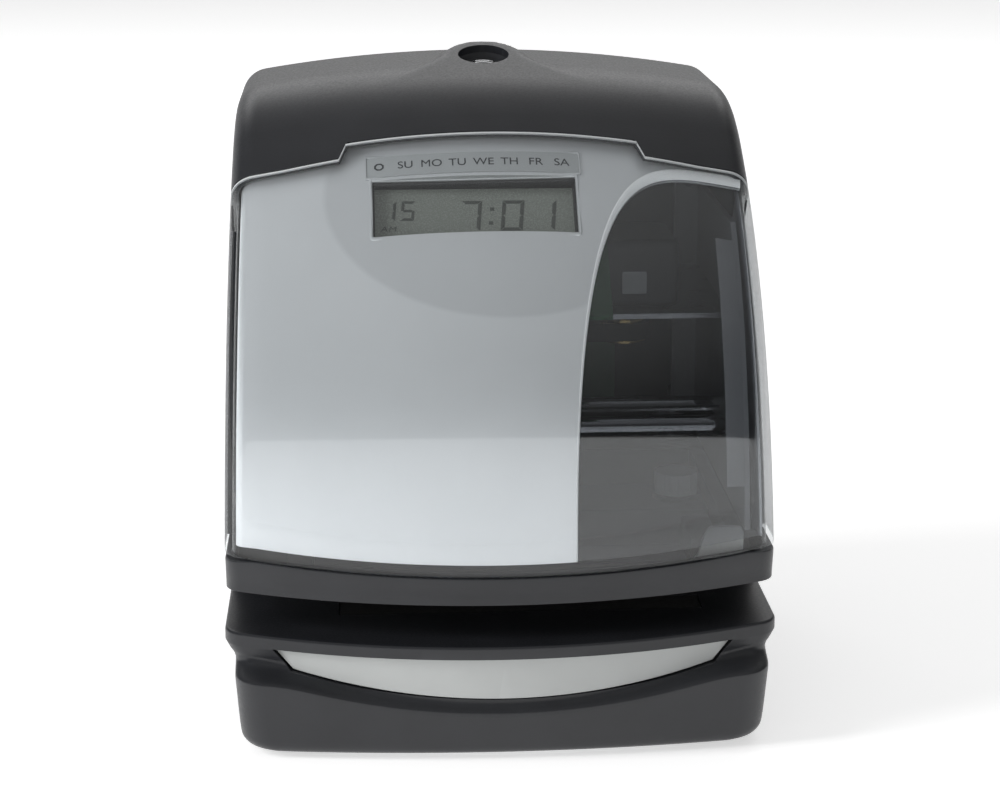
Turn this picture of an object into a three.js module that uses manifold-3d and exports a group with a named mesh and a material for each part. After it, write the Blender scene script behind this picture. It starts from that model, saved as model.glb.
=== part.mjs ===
// Document time stamp: a punch clock with a paper mouth, a push-to-print bar, a lift-off
// case with a clear cover, and the printing carriage, boards and display inside it.
// Millimetres. +X right, +Y to the rear, +Z up; the feet stand on z = 0.
import * as THREE from 'three';
import Module from 'manifold-3d';
import { LoftGeometry } from 'three/addons/geometries/LoftGeometry.js';
import { RoundedBoxGeometry } from 'three/addons/geometries/RoundedBoxGeometry.js';
import { mergeVertices } from 'three/addons/utils/BufferGeometryUtils.js';

const wasm = await Module();
wasm.setup();

// ---- overall size ----
const BACK_Y = 76; // rear plane of the machine
const LIP_Y = -76; // foremost point of the lower lip
const GAP = 0.3; // air left between neighbouring pieces

// ---- head: side profile in the centre plane and how it wraps to the sides ----
const FACE_ARC = { y: 76.4, z: 39.9, radius: 150 };
const BROW_ARC = { y: 40.4, z: 102.3, radius: 78 };
const BROW_LEAN = Math.PI / 3; // lean of the surface where the two arcs meet
const HEAD_HALF_WIDTH = 77.6; // at TAPER_FROM
const TAPER_FROM = 55;
const TAPER_RATE = 0.00028; // share of the width lost for each millimetre of height
const CORNER_RADIUS = 9;
const FACE_BOW_RADIUS = 180; // plan curve of the face where it stands upright
const ROOF_BOW_RADIUS = 440; // crown of the roof
const CASE_WALL = 2.4;
const CASE_BOTTOM = 55.4;
const ROOF_Y = BROW_ARC.y;

// ---- clear cover and the pieces behind it ----
const COVER_WALL = 2.2;
const COVER_SIDE = 14; // how far the cover reaches back behind its rounded corner
const COVER_BOTTOM = 53.7;
const COVER_BOTTOM_RISE = 1.7;
const TAB_HALF_WIDTH = 42;
const TAB_STEP = 2;
const TAB_TOP = 165.9;
const TAB_DROP = 0.65; // how far the tab's corners lie below its middle
const SHOULDER_TOP = 161.9;
const SHOULDER_DROP = 0.8;
const SHOULDER_RUN = 18;
const PANEL_DEPTH = 3.2;
const PANEL_WALL = 1.4;
const PANEL_HALF_WIDTH = 71.2; // at TAPER_FROM
const PANEL_TOP = 168.2; // hidden behind the hood's edge
const PANEL_RISE = 3.6; // panel's lower edge above the cover's
const WINDOW_LEFT = 20.8;
const WINDOW_RIGHT = 72; // where its curved edge would reach at the very top
const WINDOW_FOOT = 57;
const WINDOW_TOP = 159.2;
const LCD_OPENING = { left: -35.1, right: 23.75, low: 143.7, high: 157.45 };
const LABEL = { left: -36.6, right: 25.1, low: 158.2, high: 163 };

// ---- lock ----
const LOCK_Y = 41;
const LOCK_Z = 182.7;
const LOCK_LEAN = THREE.MathUtils.degToRad(15);
const LOCK_BORE = 7.75;
const CAM_REACH = 13.8; // from the lock's axis to the cam's tip
const CAM_HALF_WIDTH = 4.5;
const BOSS_FRONT_Y = 21.5;
const BOSS_FRONT_Z = 178;
const BOSS_SLOPE = Math.tan(THREE.MathUtils.degToRad(14));
const BOSS_FRONT_HALF_WIDTH = 26;
const BOSS_NOSE_RADIUS = 10.5;
const BOSS_SKIRT = 7;

// ---- lower body ----
const LIP_HALF_WIDTH = 77.9;
const LIP_BOW_RADIUS = 180;
const LIP_CORNER = 8;
const LIP_TOP = 34.6;
const LIP_FOOT = 31;
const WAIST_HALF_WIDTH = 75;
const FOOT_HALF_WIDTH = 73.9;
const BASE_BOW_RADIUS = 460;
const BASE_CORNER = 10;
const BASE_UNDERSIDE = 1.5;
const CREASE_Z = 14.5;
const CREASE_RISE = 6; // at 53 mm from the middle
const CREASE_SIDE_Z = 22.5;
const BASE_WALL = 2.4;
const BAR_TIP = 64.4; // half length of the bar's opening at its top edge
const BAR_LOWER_CORNER = 59.3;
const BAR_LOWER_CORNER_Z = 25;
const BAR_LOWEST_Z = 18.3;
const BAR_CLEARANCE = 0.6;
const SWITCH_FRONT_Y = -56.4;
const PLUNGER_SIDE = 3;
const PLUNGER_Z = 21.5;

// ---- paper mouth ----
const JAW_Y = -71;
const JAW_HALF_WIDTH = 77.4;
const JAW_CORNER = 7;
const MOUTH_TOP = 45;
const MOUTH_REACH = 90; // past both sides, so the mouth is open at its ends
const MOUTH_BACK_Y = -17;
const JAW_FLOOR = 2.2;
const JAW_WALL = 2.6;
const SLOT = { left: -45, right: 57, front: -50, back: -34 };

// ---- printing works ----
const FRAME_X = 69.5;
const FRAME_SHEET = 1.5;
const FRAME_DEPTH = 9.4; // how far its front edge lies behind the face
const FRAME_FOOT = 57.4;
const FRAME_BACK_Y = 60;
const REAR_COVER_Y = 72.8; // inner face of the rear cover
const SCREW_RADIUS = 1.5;
const SCREW_HEAD_RADIUS = 3.2;
const SCREW_HEAD_Y = 73.9; // seat of the screw heads
const SCREW_SPOTS = [
  ['upper_left', -66, 140],
  ['upper_right', 66, 140],
  ['lower_left', -66, 67],
  ['lower_right', 66, 67],
];
const ROD_Z = 84;
const ROD_FRONT_Y = -30;
const ROD_REAR_Y = -8;
const ROD_RADIUS = 3;
const CARRIAGE_X = -8;
const CARRIAGE_WIDTH = 34;
const SHELF_Z = 112;
const BELT_Y = 8;
const BELT_LOW = 102;
const BELT_HIGH = 107;
const BELT_THICKNESS = 1.2;
const PULLEY_RADIUS = 7;
const DRIVE_X = 40;
const IDLER_X = -50;
const SCREEN_Z = 150.6;
const SCREEN_LEAN = Math.asin((SCREEN_Z - FACE_ARC.z) / FACE_ARC.radius);
const SCREEN_X = -5.7;

// ---------------------------------------------------------------- materials
function plastic(color, roughness) {
  return new THREE.MeshStandardMaterial({ color, roughness, metalness: 0 });
}

function metal(color, roughness) {
  return new THREE.MeshStandardMaterial({ color, roughness, metalness: 1 });
}

const blackPlastic = plastic(0x2c2d31, 0.5);
const silverPaint = plastic(0xb4b7b8, 0.4);
const smokedPlastic = plastic(0x1b1d20, 0.1);
const clearPlastic = new THREE.MeshStandardMaterial({
  color: 0xe8eef2,
  roughness: 0.05,
  metalness: 0,
  transparent: true,
  opacity: 0.3,
});
const barPlastic = plastic(0xb2b6b5, 0.45);
const labelFilm = plastic(0xc3c7c8, 0.5);
const rubber = plastic(0x161616, 0.9);
const steel = metal(0xa9abad, 0.35);
const chrome = metal(0xd9dadb, 0.12);
const brass = metal(0xb5975a, 0.3);
const boardGreen = plastic(0x1f5138, 0.5);
const darkResin = plastic(0x17181b, 0.45);
const paleResin = plastic(0xc9ccca, 0.45);
const ribbonInk = plastic(0x201a33, 0.8);
const screenGlass = plastic(0x646963, 0.15);
const batteryWrap = plastic(0x2f5f8a, 0.4);

// ---------------------------------------------------------------- solids
function solid(geometry) {
  const bare = new THREE.BufferGeometry().copy(geometry);
  bare.deleteAttribute('normal');
  bare.deleteAttribute('uv');
  const welded = mergeVertices(bare, 1e-4);
  return new wasm.Manifold(
    new wasm.Mesh({
      numProp: 3,
      vertProperties: new Float32Array(welded.attributes.position.array),
      triVerts: new Uint32Array(welded.index.array),
    }),
  );
}

function geometryOf(body) {
  const data = body.getMesh();
  const geometry = new THREE.BufferGeometry();
  geometry.setAttribute('position', new THREE.BufferAttribute(data.vertProperties, 3));
  geometry.setIndex(new THREE.BufferAttribute(data.triVerts, 1));
  geometry.computeVertexNormals();
  return geometry;
}

function piece(name, shape, material) {
  const geometry = shape.isBufferGeometry ? shape : geometryOf(shape);
  const mesh = new THREE.Mesh(geometry, material);
  mesh.name = name;
  return mesh;
}

// A box given by its two opposite corners.
function block(low, high) {
  const size = high.map((value, k) => value - low[k]);
  const geometry = new THREE.BoxGeometry(...size);
  geometry.translate(...low.map((value, k) => value + size[k] / 2));
  return geometry;
}

function rod(radius, length, sides = 24) {
  const geometry = new THREE.CylinderGeometry(radius, radius, length, sides);
  return geometry;
}

// A cylinder standing on z = low, with its axis through (x, y).
function post(x, y, low, high, radius, sides = 24) {
  const geometry = rod(radius, high - low, sides);
  geometry.rotateX(Math.PI / 2);
  geometry.translate(x, y, (low + high) / 2);
  return geometry;
}

function ring(x, y, low, high, inner, outer, sides = 32) {
  return solid(post(x, y, low, high, outer, sides)).subtract(
    solid(post(x, y, low - 1, high + 1, inner, sides)),
  );
}

function mix(a, b, share) {
  return a + (b - a) * share;
}

function clamp01(value) {
  return Math.min(1, Math.max(0, value));
}

function steps(from, to, count) {
  return Array.from({ length: count + 1 }, (_, i) => mix(from, to, i / count));
}

// ---------------------------------------------------------------- head surface
// A station is a point of the centre profile with the lean of the surface there.
function faceStation(z) {
  const browZ = FACE_ARC.z + FACE_ARC.radius * Math.sin(BROW_LEAN);
  const arc = z <= browZ ? FACE_ARC : BROW_ARC;
  const lean = Math.asin(Math.min(1, (z - arc.z) / arc.radius));
  return { y: arc.y - arc.radius * Math.cos(lean), z, lean };
}

function browStation(lean) {
  return {
    y: BROW_ARC.y - BROW_ARC.radius * Math.cos(lean),
    z: BROW_ARC.z + BROW_ARC.radius * Math.sin(lean),
    lean,
  };
}

function roofStation(y) {
  return { y, z: BROW_ARC.z + BROW_ARC.radius, lean: Math.PI / 2 };
}

function bowRadius(lean) {
  return 1 / mix(1 / FACE_BOW_RADIUS, 1 / ROOF_BOW_RADIUS, Math.sin(lean) ** 2);
}

function taper(z) {
  return 1 - TAPER_RATE * (z - TAPER_FROM);
}

// A place across the head: a share of the bowed face from -1 to 1, then how much of the
// rounded corner is passed, then how far back along the flat side.
function place(share, corner = 0, side = 0) {
  return { share, corner, side };
}

function placeAtX(x, station, depth = 0) {
  const bow = bowRadius(station.lean);
  const sine = (HEAD_HALF_WIDTH - CORNER_RADIUS) / (bow - CORNER_RADIUS);
  return place(x / ((bow - depth) * sine * taper(station.z)));
}

function acrossHead(at, lean, depth) {
  const bow = bowRadius(lean);
  const sine = (HEAD_HALF_WIDTH - CORNER_RADIUS) / (bow - CORNER_RADIUS);
  const cornerTurn = Math.asin(sine);
  const hand = at.share < 0 ? -1 : 1;
  if (at.corner === 0) {
    const turn = Math.asin(Math.abs(at.share) * sine);
    return {
      x: hand * (bow - depth) * Math.sin(turn),
      back: bow - (bow - depth) * Math.cos(turn),
    };
  }
  const turn = mix(cornerTurn, Math.PI / 2, at.corner);
  const centreBack = bow - (bow - CORNER_RADIUS) * Math.cos(cornerTurn);
  const reach = CORNER_RADIUS - depth;
  return {
    x: hand * (HEAD_HALF_WIDTH - CORNER_RADIUS + reach * Math.sin(turn)),
    back: centreBack - reach * Math.cos(turn) + at.side,
  };
}

function headPoint(station, at, depth) {
  const across = acrossHead(at, station.lean, depth);
  const y = station.y + across.back * Math.cos(station.lean);
  const z = station.z - across.back * Math.sin(station.lean);
  return new THREE.Vector3(across.x * taper(z), y, z);
}

// The station whose surface passes through height z at this place.
function stationThrough(z, at, depth) {
  let station = faceStation(z);
  for (let round = 0; round < 12; round += 1) {
    station = faceStation(station.z + z - headPoint(station, at, depth).z);
  }
  return station;
}

function profileStations(bottom, rearY, faceSteps, browSteps) {
  const browZ = FACE_ARC.z + FACE_ARC.radius * Math.sin(BROW_LEAN);
  return [
    ...steps(bottom.z, browZ, faceSteps).map(faceStation),
    ...steps(BROW_LEAN, Math.PI / 2, browSteps).slice(1).map(browStation),
    roofStation(rearY),
  ];
}

function wrapPlaces(faceSteps, cornerSteps) {
  const face = steps(-1, 1, faceSteps).map((share) => place(share));
  const left = steps(1, 1 / cornerSteps, cornerSteps - 1).map((c) => place(-1, c));
  const right = steps(1 / cornerSteps, 1, cornerSteps - 1).map((c) => place(1, c));
  return [...left, ...face, ...right];
}

// The head filled solid from a depth below its skin.
function headSolid(depth, bottomZ, rearY) {
  const sections = wrapPlaces(16, 5).map((at) => {
    const bottom = stationThrough(bottomZ, at, depth);
    const skin = profileStations(bottom, rearY, 12, 6).map((s) => headPoint(s, at, depth));
    const last = skin[skin.length - 1];
    return [...skin, new THREE.Vector3(last.x * taper(bottomZ) / taper(last.z), rearY, bottomZ)];
  });
  return solid(new LoftGeometry(sections.reverse(), { capStart: true, capEnd: true }));
}

// A sheet with a front and a rear skin, given row by row. Its two end rims are closed by a
// row halfway between the skins, so a curved rim keeps its shape.
function sheet(rows) {
  const seam = ({ front, rear }) => {
    const middle = front.map((point, i) => point.clone().lerp(rear[i], 0.5));
    return { front: middle, rear: middle };
  };
  const closedRows = [seam(rows[0]), ...rows, seam(rows[rows.length - 1])];
  const rings = closedRows.map(({ front, rear }) => [...front, ...[...rear].reverse()]);
  return solid(new LoftGeometry(rings));
}

// A sheet that follows the head between two depths, from a lower to an upper station.
function headSheet(places, stationsAt, outer, inner) {
  const rows = places.map((at) => {
    const stations = stationsAt(at);
    return {
      front: stations.map((s) => headPoint(s, at, outer)),
      rear: stations.map((s) => headPoint(s, at, inner)),
    };
  });
  return sheet(rows.reverse());
}

function xOf(at, z) {
  const station = faceStation(z);
  return Math.abs(headPoint(station, at, 0).x);
}

function coverTop(at) {
  if (at.corner > 0) return SHOULDER_TOP - SHOULDER_DROP;
  const x = Math.abs(xOf(at, TAB_TOP));
  if (x <= TAB_HALF_WIDTH) return TAB_TOP - TAB_DROP * (x / TAB_HALF_WIDTH) ** 2;
  const passed = clamp01((x - TAB_HALF_WIDTH) / TAB_STEP);
  const shoulder = SHOULDER_TOP - SHOULDER_DROP * clamp01((x - TAB_HALF_WIDTH) / SHOULDER_RUN);
  return mix(TAB_TOP - TAB_DROP, shoulder, passed);
}

function coverBottom(at) {
  const rise = COVER_BOTTOM_RISE * Math.min(1, Math.abs(at.share)) ** 2;
  return COVER_BOTTOM + rise + (CASE_BOTTOM - COVER_BOTTOM - COVER_BOTTOM_RISE) * at.corner;
}

function coverPlaces(side) {
  const z = TAB_TOP;
  const station = faceStation(z);
  const tabShare = placeAtX(TAB_HALF_WIDTH, station).share;
  const stepShare = placeAtX(TAB_HALF_WIDTH + TAB_STEP, station).share;
  const shares = [
    ...steps(-1, -stepShare, 3),
    ...steps(-tabShare, tabShare, 10),
    ...steps(stepShare, 1, 3),
  ];
  const corner = steps(0.2, 1, 4);
  return [
    place(-1, 1, side),
    ...[...corner].reverse().map((c) => place(-1, c)),
    ...shares.map((share) => place(share)),
    ...corner.map((c) => place(1, c)),
    place(1, 1, side),
  ];
}

function coverSheet(outer, inner, side, extraTop, extraBottom) {
  return headSheet(
    coverPlaces(side),
    (at) => {
      const low = stationThrough(coverBottom(at) - extraBottom, at, outer);
      return steps(low.z, coverTop(at) + extraTop, 14).map(faceStation);
    },
    outer,
    inner,
  );
}

// ---------------------------------------------------------------- case
function browZ(y) {
  if (y >= ROOF_Y) return BROW_ARC.z + BROW_ARC.radius;
  return BROW_ARC.z + Math.sqrt(BROW_ARC.radius ** 2 - (ROOF_Y - y) ** 2);
}

// How far the lock boss stands above the roof at a point in plan.
function bossRise(x, y) {
  const height = BOSS_FRONT_Z + (y - BOSS_FRONT_Y) * BOSS_SLOPE - browZ(y);
  const halfWidth = mix(
    BOSS_FRONT_HALF_WIDTH,
    BOSS_NOSE_RADIUS,
    (y - BOSS_FRONT_Y) / (LOCK_Y - BOSS_FRONT_Y),
  );
  const outside =
    y < LOCK_Y ? Math.abs(x) - halfWidth : Math.hypot(x, y - LOCK_Y) - BOSS_NOSE_RADIUS;
  const fall = clamp01(outside / BOSS_SKIRT);
  return Math.max(0, height) * (1 - fall * fall * (3 - 2 * fall));
}

function lockBoss() {
  const buried = 1;
  const sections = steps(BOSS_FRONT_Y - 1, 60, 18).map((y) => {
    const across = steps(-34, 34, 28);
    const roof = (x) => browZ(y) - (x * x) / (2 * ROOF_BOW_RADIUS);
    const top = across.map((x) => {
      const rise = bossRise(x, y);
      return new THREE.Vector3(x, y, roof(x) + rise - GAP * (1 - clamp01(rise)));
    });
    const under = [...across].reverse().map((x) => new THREE.Vector3(x, y, roof(x) - buried));
    return [...top, ...under];
  });
  return solid(new LoftGeometry(sections, { capStart: true, capEnd: true }));
}

// Turns a shape built along the lock's own axis, z = 0 at the mouth, into place.
function onLockAxis(geometry) {
  const turned = new THREE.BufferGeometry().copy(geometry);
  turned.rotateX(LOCK_LEAN);
  turned.translate(0, LOCK_Y, LOCK_Z);
  return turned;
}

function hood() {
  const shell = headSolid(0, CASE_BOTTOM, BACK_Y).subtract(
    headSolid(CASE_WALL, CASE_BOTTOM - 3, BACK_Y + 3),
  );
  const opening = coverSheet(-3, 7, COVER_SIDE + GAP, GAP, 4);
  const socket = solid(onLockAxis(post(0, 0, -13, -1.5, 11, 28)));
  const bore = solid(onLockAxis(post(0, 0, -20, 8, LOCK_BORE, 32)));
  return piece(
    'hood',
    shell.subtract(opening).add(lockBoss()).add(socket).subtract(bore),
    blackPlastic,
  );
}

function clearCover() {
  return piece('clear_cover', coverSheet(0, COVER_WALL, COVER_SIDE, 0, 0), clearPlastic);
}

function windowLeft(z) {
  const height = clamp01((z - WINDOW_FOOT) / (WINDOW_TOP - WINDOW_FOOT));
  const bulge = 1 - (1 - height ** 2.4) ** 0.23;
  return mix(WINDOW_LEFT, WINDOW_RIGHT, bulge);
}

// A sheet behind the cover between two edges given as functions of height.
function innerSheet(leftAt, rightAt, heights, outer, inner, columns) {
  const rows = heights.map((z) => {
    const station = faceStation(z);
    const places = steps(leftAt(z), rightAt(z), columns).map((x) => placeAtX(x, station));
    return {
      front: places.map((at) => headPoint(station, at, outer)),
      rear: places.map((at) => headPoint(station, at, inner)),
    };
  });
  return sheet(rows);
}

function panelFootCut() {
  return headSheet(
    wrapPlaces(12, 3),
    (at) => {
      const low = stationThrough(coverBottom(at) - 6, at, PANEL_DEPTH);
      const high = stationThrough(coverBottom(at) + PANEL_RISE, at, PANEL_DEPTH);
      return [low, high];
    },
    PANEL_DEPTH - 2,
    PANEL_DEPTH + PANEL_WALL + 2,
  );
}

// Heights that crowd together towards the top, where the window's edge turns over.
function windowHeights(top) {
  return steps(0, 1, 22).map((share) => top - (top - 52) * (1 - share) ** 2);
}

function displayPanel() {
  const full = innerSheet(
    (z) => -PANEL_HALF_WIDTH * taper(z),
    (z) => PANEL_HALF_WIDTH * taper(z),
    steps(54, PANEL_TOP, 14),
    PANEL_DEPTH,
    PANEL_DEPTH + PANEL_WALL,
    16,
  );
  const windowCut = innerSheet(
    windowLeft,
    () => PANEL_HALF_WIDTH + 4,
    windowHeights(WINDOW_TOP),
    PANEL_DEPTH - 2,
    PANEL_DEPTH + PANEL_WALL + 2,
    6,
  );
  const screenCut = innerSheet(
    () => LCD_OPENING.left,
    () => LCD_OPENING.right,
    [LCD_OPENING.low, LCD_OPENING.high],
    PANEL_DEPTH - 2,
    PANEL_DEPTH + PANEL_WALL + 2,
    4,
  );
  return piece(
    'display_panel',
    full.subtract(windowCut).subtract(screenCut).subtract(panelFootCut()),
    silverPaint,
  );
}

function windowLens() {
  const lens = innerSheet(
    (z) => windowLeft(z + 1) + GAP,
    (z) => PANEL_HALF_WIDTH * taper(z),
    windowHeights(WINDOW_TOP - 1.2),
    PANEL_DEPTH + GAP,
    PANEL_DEPTH + PANEL_WALL + GAP,
    7,
  );
  return piece('window_lens', lens.subtract(panelFootCut()), smokedPlastic);
}

function weekdayLabel() {
  const film = innerSheet(
    () => LABEL.left,
    () => LABEL.right,
    [LABEL.low, LABEL.high],
    PANEL_DEPTH - 0.45,
    PANEL_DEPTH - 0.2,
    8,
  );
  return piece('weekday_label', film, labelFilm);
}

function lockParts() {
  const barrel = solid(post(0, 0, -24, -4, 7.4, 32)).subtract(
    solid(post(0, 0, -26, -2, 5.7, 32)),
  );
  const plug = solid(post(0, 0, -27, -4.4, 5.4, 32))
    .subtract(solid(block([-1.1, -3.6, -16], [1.1, 3.6, 0])));
  const nut = solid(post(0, 0, -17.5, -13.3, 12, 6)).subtract(
    solid(post(0, 0, -20, -10, 7.7, 32)),
  );
  const cam = solid(post(0, 0, -29.3, -27.3, 5.4, 24))
    .add(solid(block([-CAM_HALF_WIDTH, -CAM_REACH, -29.3], [CAM_HALF_WIDTH, 0, -27.3])));
  const screw = post(0, 0, -31.9, -29.6, 3, 18);
  return [
    piece('lock_barrel', onLockAxis(geometryOf(barrel)), chrome),
    piece('lock_nut', onLockAxis(geometryOf(nut)), steel),
    piece('lock_plug', onLockAxis(geometryOf(plug)), chrome),
    piece('lock_cam', onLockAxis(geometryOf(cam)), steel),
    piece('cam_screw', onLockAxis(screw), brass),
  ];
}

// ---------------------------------------------------------------- lower body
// A closed plan outline: bowed front, rounded corners, straight sides, flat back.
function planOutline(frontY, halfWidth, bow, corner, backY, frontSteps = 20, cornerSteps = 8) {
  const sine = (halfWidth - corner) / (bow - corner);
  const turn = Math.asin(sine);
  const centreY = frontY + bow - (bow - corner) * Math.cos(turn);
  const backCorner = 4;
  const half = [];
  for (const angle of steps(0, turn, frontSteps / 2)) {
    half.push([bow * Math.sin(angle), frontY + bow * (1 - Math.cos(angle))]);
  }
  for (const angle of steps(turn, Math.PI / 2, cornerSteps).slice(1)) {
    half.push([
      halfWidth - corner + corner * Math.sin(angle),
      centreY - corner * Math.cos(angle),
    ]);
  }
  for (const angle of steps(0, Math.PI / 2, 2)) {
    half.push([
      halfWidth - backCorner + backCorner * Math.cos(angle),
      backY - backCorner + backCorner * Math.sin(angle),
    ]);
  }
  const mirrored = half.slice(1).reverse().map(([x, y]) => [-x, y]);
  return [...mirrored, ...half];
}

function stack(levels) {
  return solid(new LoftGeometry(levels, { capStart: true, capEnd: true }));
}

function outlineAt(outline, heightAt) {
  return outline.map(([x, y]) => new THREE.Vector3(x, y, heightAt(x, y)));
}

function creaseHeight(x) {
  return Math.min(CREASE_SIDE_Z, CREASE_Z + CREASE_RISE * (x / 53) ** 2);
}

// Sections of the lower body from its underside up to the lip.
function baseLevels() {
  const section = (front, half, bow, corner, rear, heightAt) => {
    return outlineAt(planOutline(LIP_Y + front, half, bow, corner, BACK_Y - rear), heightAt);
  };
  const foot = FOOT_HALF_WIDTH;
  const waist = WAIST_HALF_WIDTH;
  return [
    section(5.4, foot - 3.2, BASE_BOW_RADIUS, BASE_CORNER, 3.2, () => BASE_UNDERSIDE),
    section(3.7, foot - 1.3, BASE_BOW_RADIUS, BASE_CORNER, 1.3, () => BASE_UNDERSIDE + 1.3),
    section(2.6, foot, BASE_BOW_RADIUS, BASE_CORNER, 0, () => BASE_UNDERSIDE + 4.2),
    section(0.3, waist, BASE_BOW_RADIUS, BASE_CORNER, 0, (x) => creaseHeight(x) - 0.6),
    section(0.5, waist, BASE_BOW_RADIUS, BASE_CORNER, 0, (x) => creaseHeight(x) + 0.8),
    section(2.6, waist + 0.1, 250, BASE_CORNER, 0, (x) => creaseHeight(x) + 3.2),
    section(2.6, waist + 0.6, 210, LIP_CORNER, 0, (x) => Math.max(creaseHeight(x) + 4.8, 26)),
    section(1.2, waist + 1.7, 190, LIP_CORNER, 0, () => LIP_FOOT - 2.2),
    section(0, LIP_HALF_WIDTH, LIP_BOW_RADIUS, LIP_CORNER, 0, () => LIP_FOOT),
    section(0, LIP_HALF_WIDTH, LIP_BOW_RADIUS, LIP_CORNER, 0, () => LIP_TOP - 0.9),
    section(0.9, LIP_HALF_WIDTH - 0.9, LIP_BOW_RADIUS, LIP_CORNER, 0, () => LIP_TOP),
  ];
}

// The push bar's outline seen from the front, shrunk by a margin.
function barOutline(margin) {
  const shape = new THREE.Shape();
  const top = LIP_FOOT - margin;
  const tip = BAR_TIP - margin * 1.6;
  const corner = BAR_LOWER_CORNER - margin;
  const low = BAR_LOWEST_Z + margin;
  const cornerZ = BAR_LOWER_CORNER_Z + margin * 0.4;
  shape.moveTo(-tip, top);
  shape.lineTo(-corner, cornerZ);
  for (const share of steps(-1, 1, 16).slice(1)) {
    shape.lineTo(corner * share, mix(low, cornerZ, share * share));
  }
  shape.lineTo(tip, top);
  return shape;
}

function barPrism(margin, frontY, backY) {
  const geometry = new THREE.ExtrudeGeometry(barOutline(margin), {
    depth: backY - frontY,
    bevelEnabled: false,
  });
  geometry.rotateX(Math.PI / 2);
  geometry.translate(0, backY, 0);
  return solid(geometry);
}

function baseHousing() {
  const inset = (frontY, half, low, high) => [
    outlineAt(planOutline(frontY, half, 260, LIP_CORNER, BACK_Y - BASE_WALL, 8, 3), () => low),
    outlineAt(planOutline(frontY, half, 260, LIP_CORNER, BACK_Y - BASE_WALL, 8, 3), () => high),
  ];
  const cavity = stack(
    inset(LIP_Y + 8, FOOT_HALF_WIDTH - 5, BASE_UNDERSIDE - 3, LIP_TOP - BASE_WALL),
  );
  const platenSlot = solid(
    block([SLOT.left - 1, SLOT.front + 2.5, 25], [SLOT.right + 1, SLOT.back - 2.5, 40]),
  );
  const barHole = barPrism(0, -90, -60);
  return piece(
    'base_housing',
    stack(baseLevels()).subtract(cavity).subtract(platenSlot).subtract(barHole),
    blackPlastic,
  );
}

function printBar() {
  const plan = planOutline(LIP_Y + 1.8, LIP_HALF_WIDTH, LIP_BOW_RADIUS, LIP_CORNER, BACK_Y);
  const innerPlan = planOutline(
    LIP_Y + 5.4, LIP_HALF_WIDTH - 2, LIP_BOW_RADIUS, LIP_CORNER, BACK_Y,
  );
  const outer = stack([outlineAt(plan, () => 10), outlineAt(plan, () => 40)]);
  const inner = stack([outlineAt(innerPlan, () => 5), outlineAt(innerPlan, () => 45)]);
  const band = outer.subtract(inner);
  const stem = solid(block([-5, -71.5, 19.5], [5, -60, 23.5]));
  return piece(
    'print_bar',
    band.intersect(barPrism(BAR_CLEARANCE, -90, -58)).add(stem),
    barPlastic,
  );
}

// A small switch behind the push bar. Its plunger slides into the pocket in its body.
function printSwitch() {
  const half = PLUNGER_SIDE / 2;
  const pocketHalf = half + GAP;
  const body = solid(block([-11, SWITCH_FRONT_Y, 15.5], [11, -49.6, 24.4]));
  const pocket = solid(
    block(
      [-pocketHalf, SWITCH_FRONT_Y - 1, PLUNGER_Z - pocketHalf],
      [pocketHalf, SWITCH_FRONT_Y + 4.6, PLUNGER_Z + pocketHalf],
    ),
  );
  const plunger = block(
    [-half, SWITCH_FRONT_Y - 3.2, PLUNGER_Z - half],
    [half, SWITCH_FRONT_Y + 1.8, PLUNGER_Z + half],
  );
  return [
    piece('print_switch', body.subtract(pocket), darkResin),
    piece('switch_plunger', plunger, paleResin),
  ];
}

function bottomPlate() {
  const outline = planOutline(LIP_Y + 8.8, FOOT_HALF_WIDTH - 5.8, 260, LIP_CORNER, 72.8, 8, 3);
  const plate = stack([outlineAt(outline, () => 2), outlineAt(outline, () => 3.4)]);
  return piece('bottom_plate', plate, steel);
}

function feet() {
  const spots = [
    ['front_left', -56, -54],
    ['front_right', 56, -54],
    ['rear_left', -58, 58],
    ['rear_right', 58, 58],
  ];
  const profile = [
    [0, 0], [6, 0], [7, 0.6], [7, 1.7], [0, 1.7],
  ].map(([radius, z]) => new THREE.Vector2(radius, z));
  return spots.map(([where, x, y]) => {
    const disc = new THREE.LatheGeometry(profile, 24);
    disc.rotateX(Math.PI / 2);
    disc.translate(x, y, 0);
    return piece(`foot_${where}`, disc, rubber);
  });
}

// ---------------------------------------------------------------- paper mouth
function jawTop(x, y) {
  const front = COVER_BOTTOM + COVER_BOTTOM_RISE * Math.min(1, Math.abs(x) / 69) ** 2;
  const side = CASE_BOTTOM;
  const passed = clamp01((Math.abs(x) - 69) / 8);
  return (y > -40 ? side : mix(front, side, passed * passed)) - mix(0.5, 1.2, passed);
}

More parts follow.
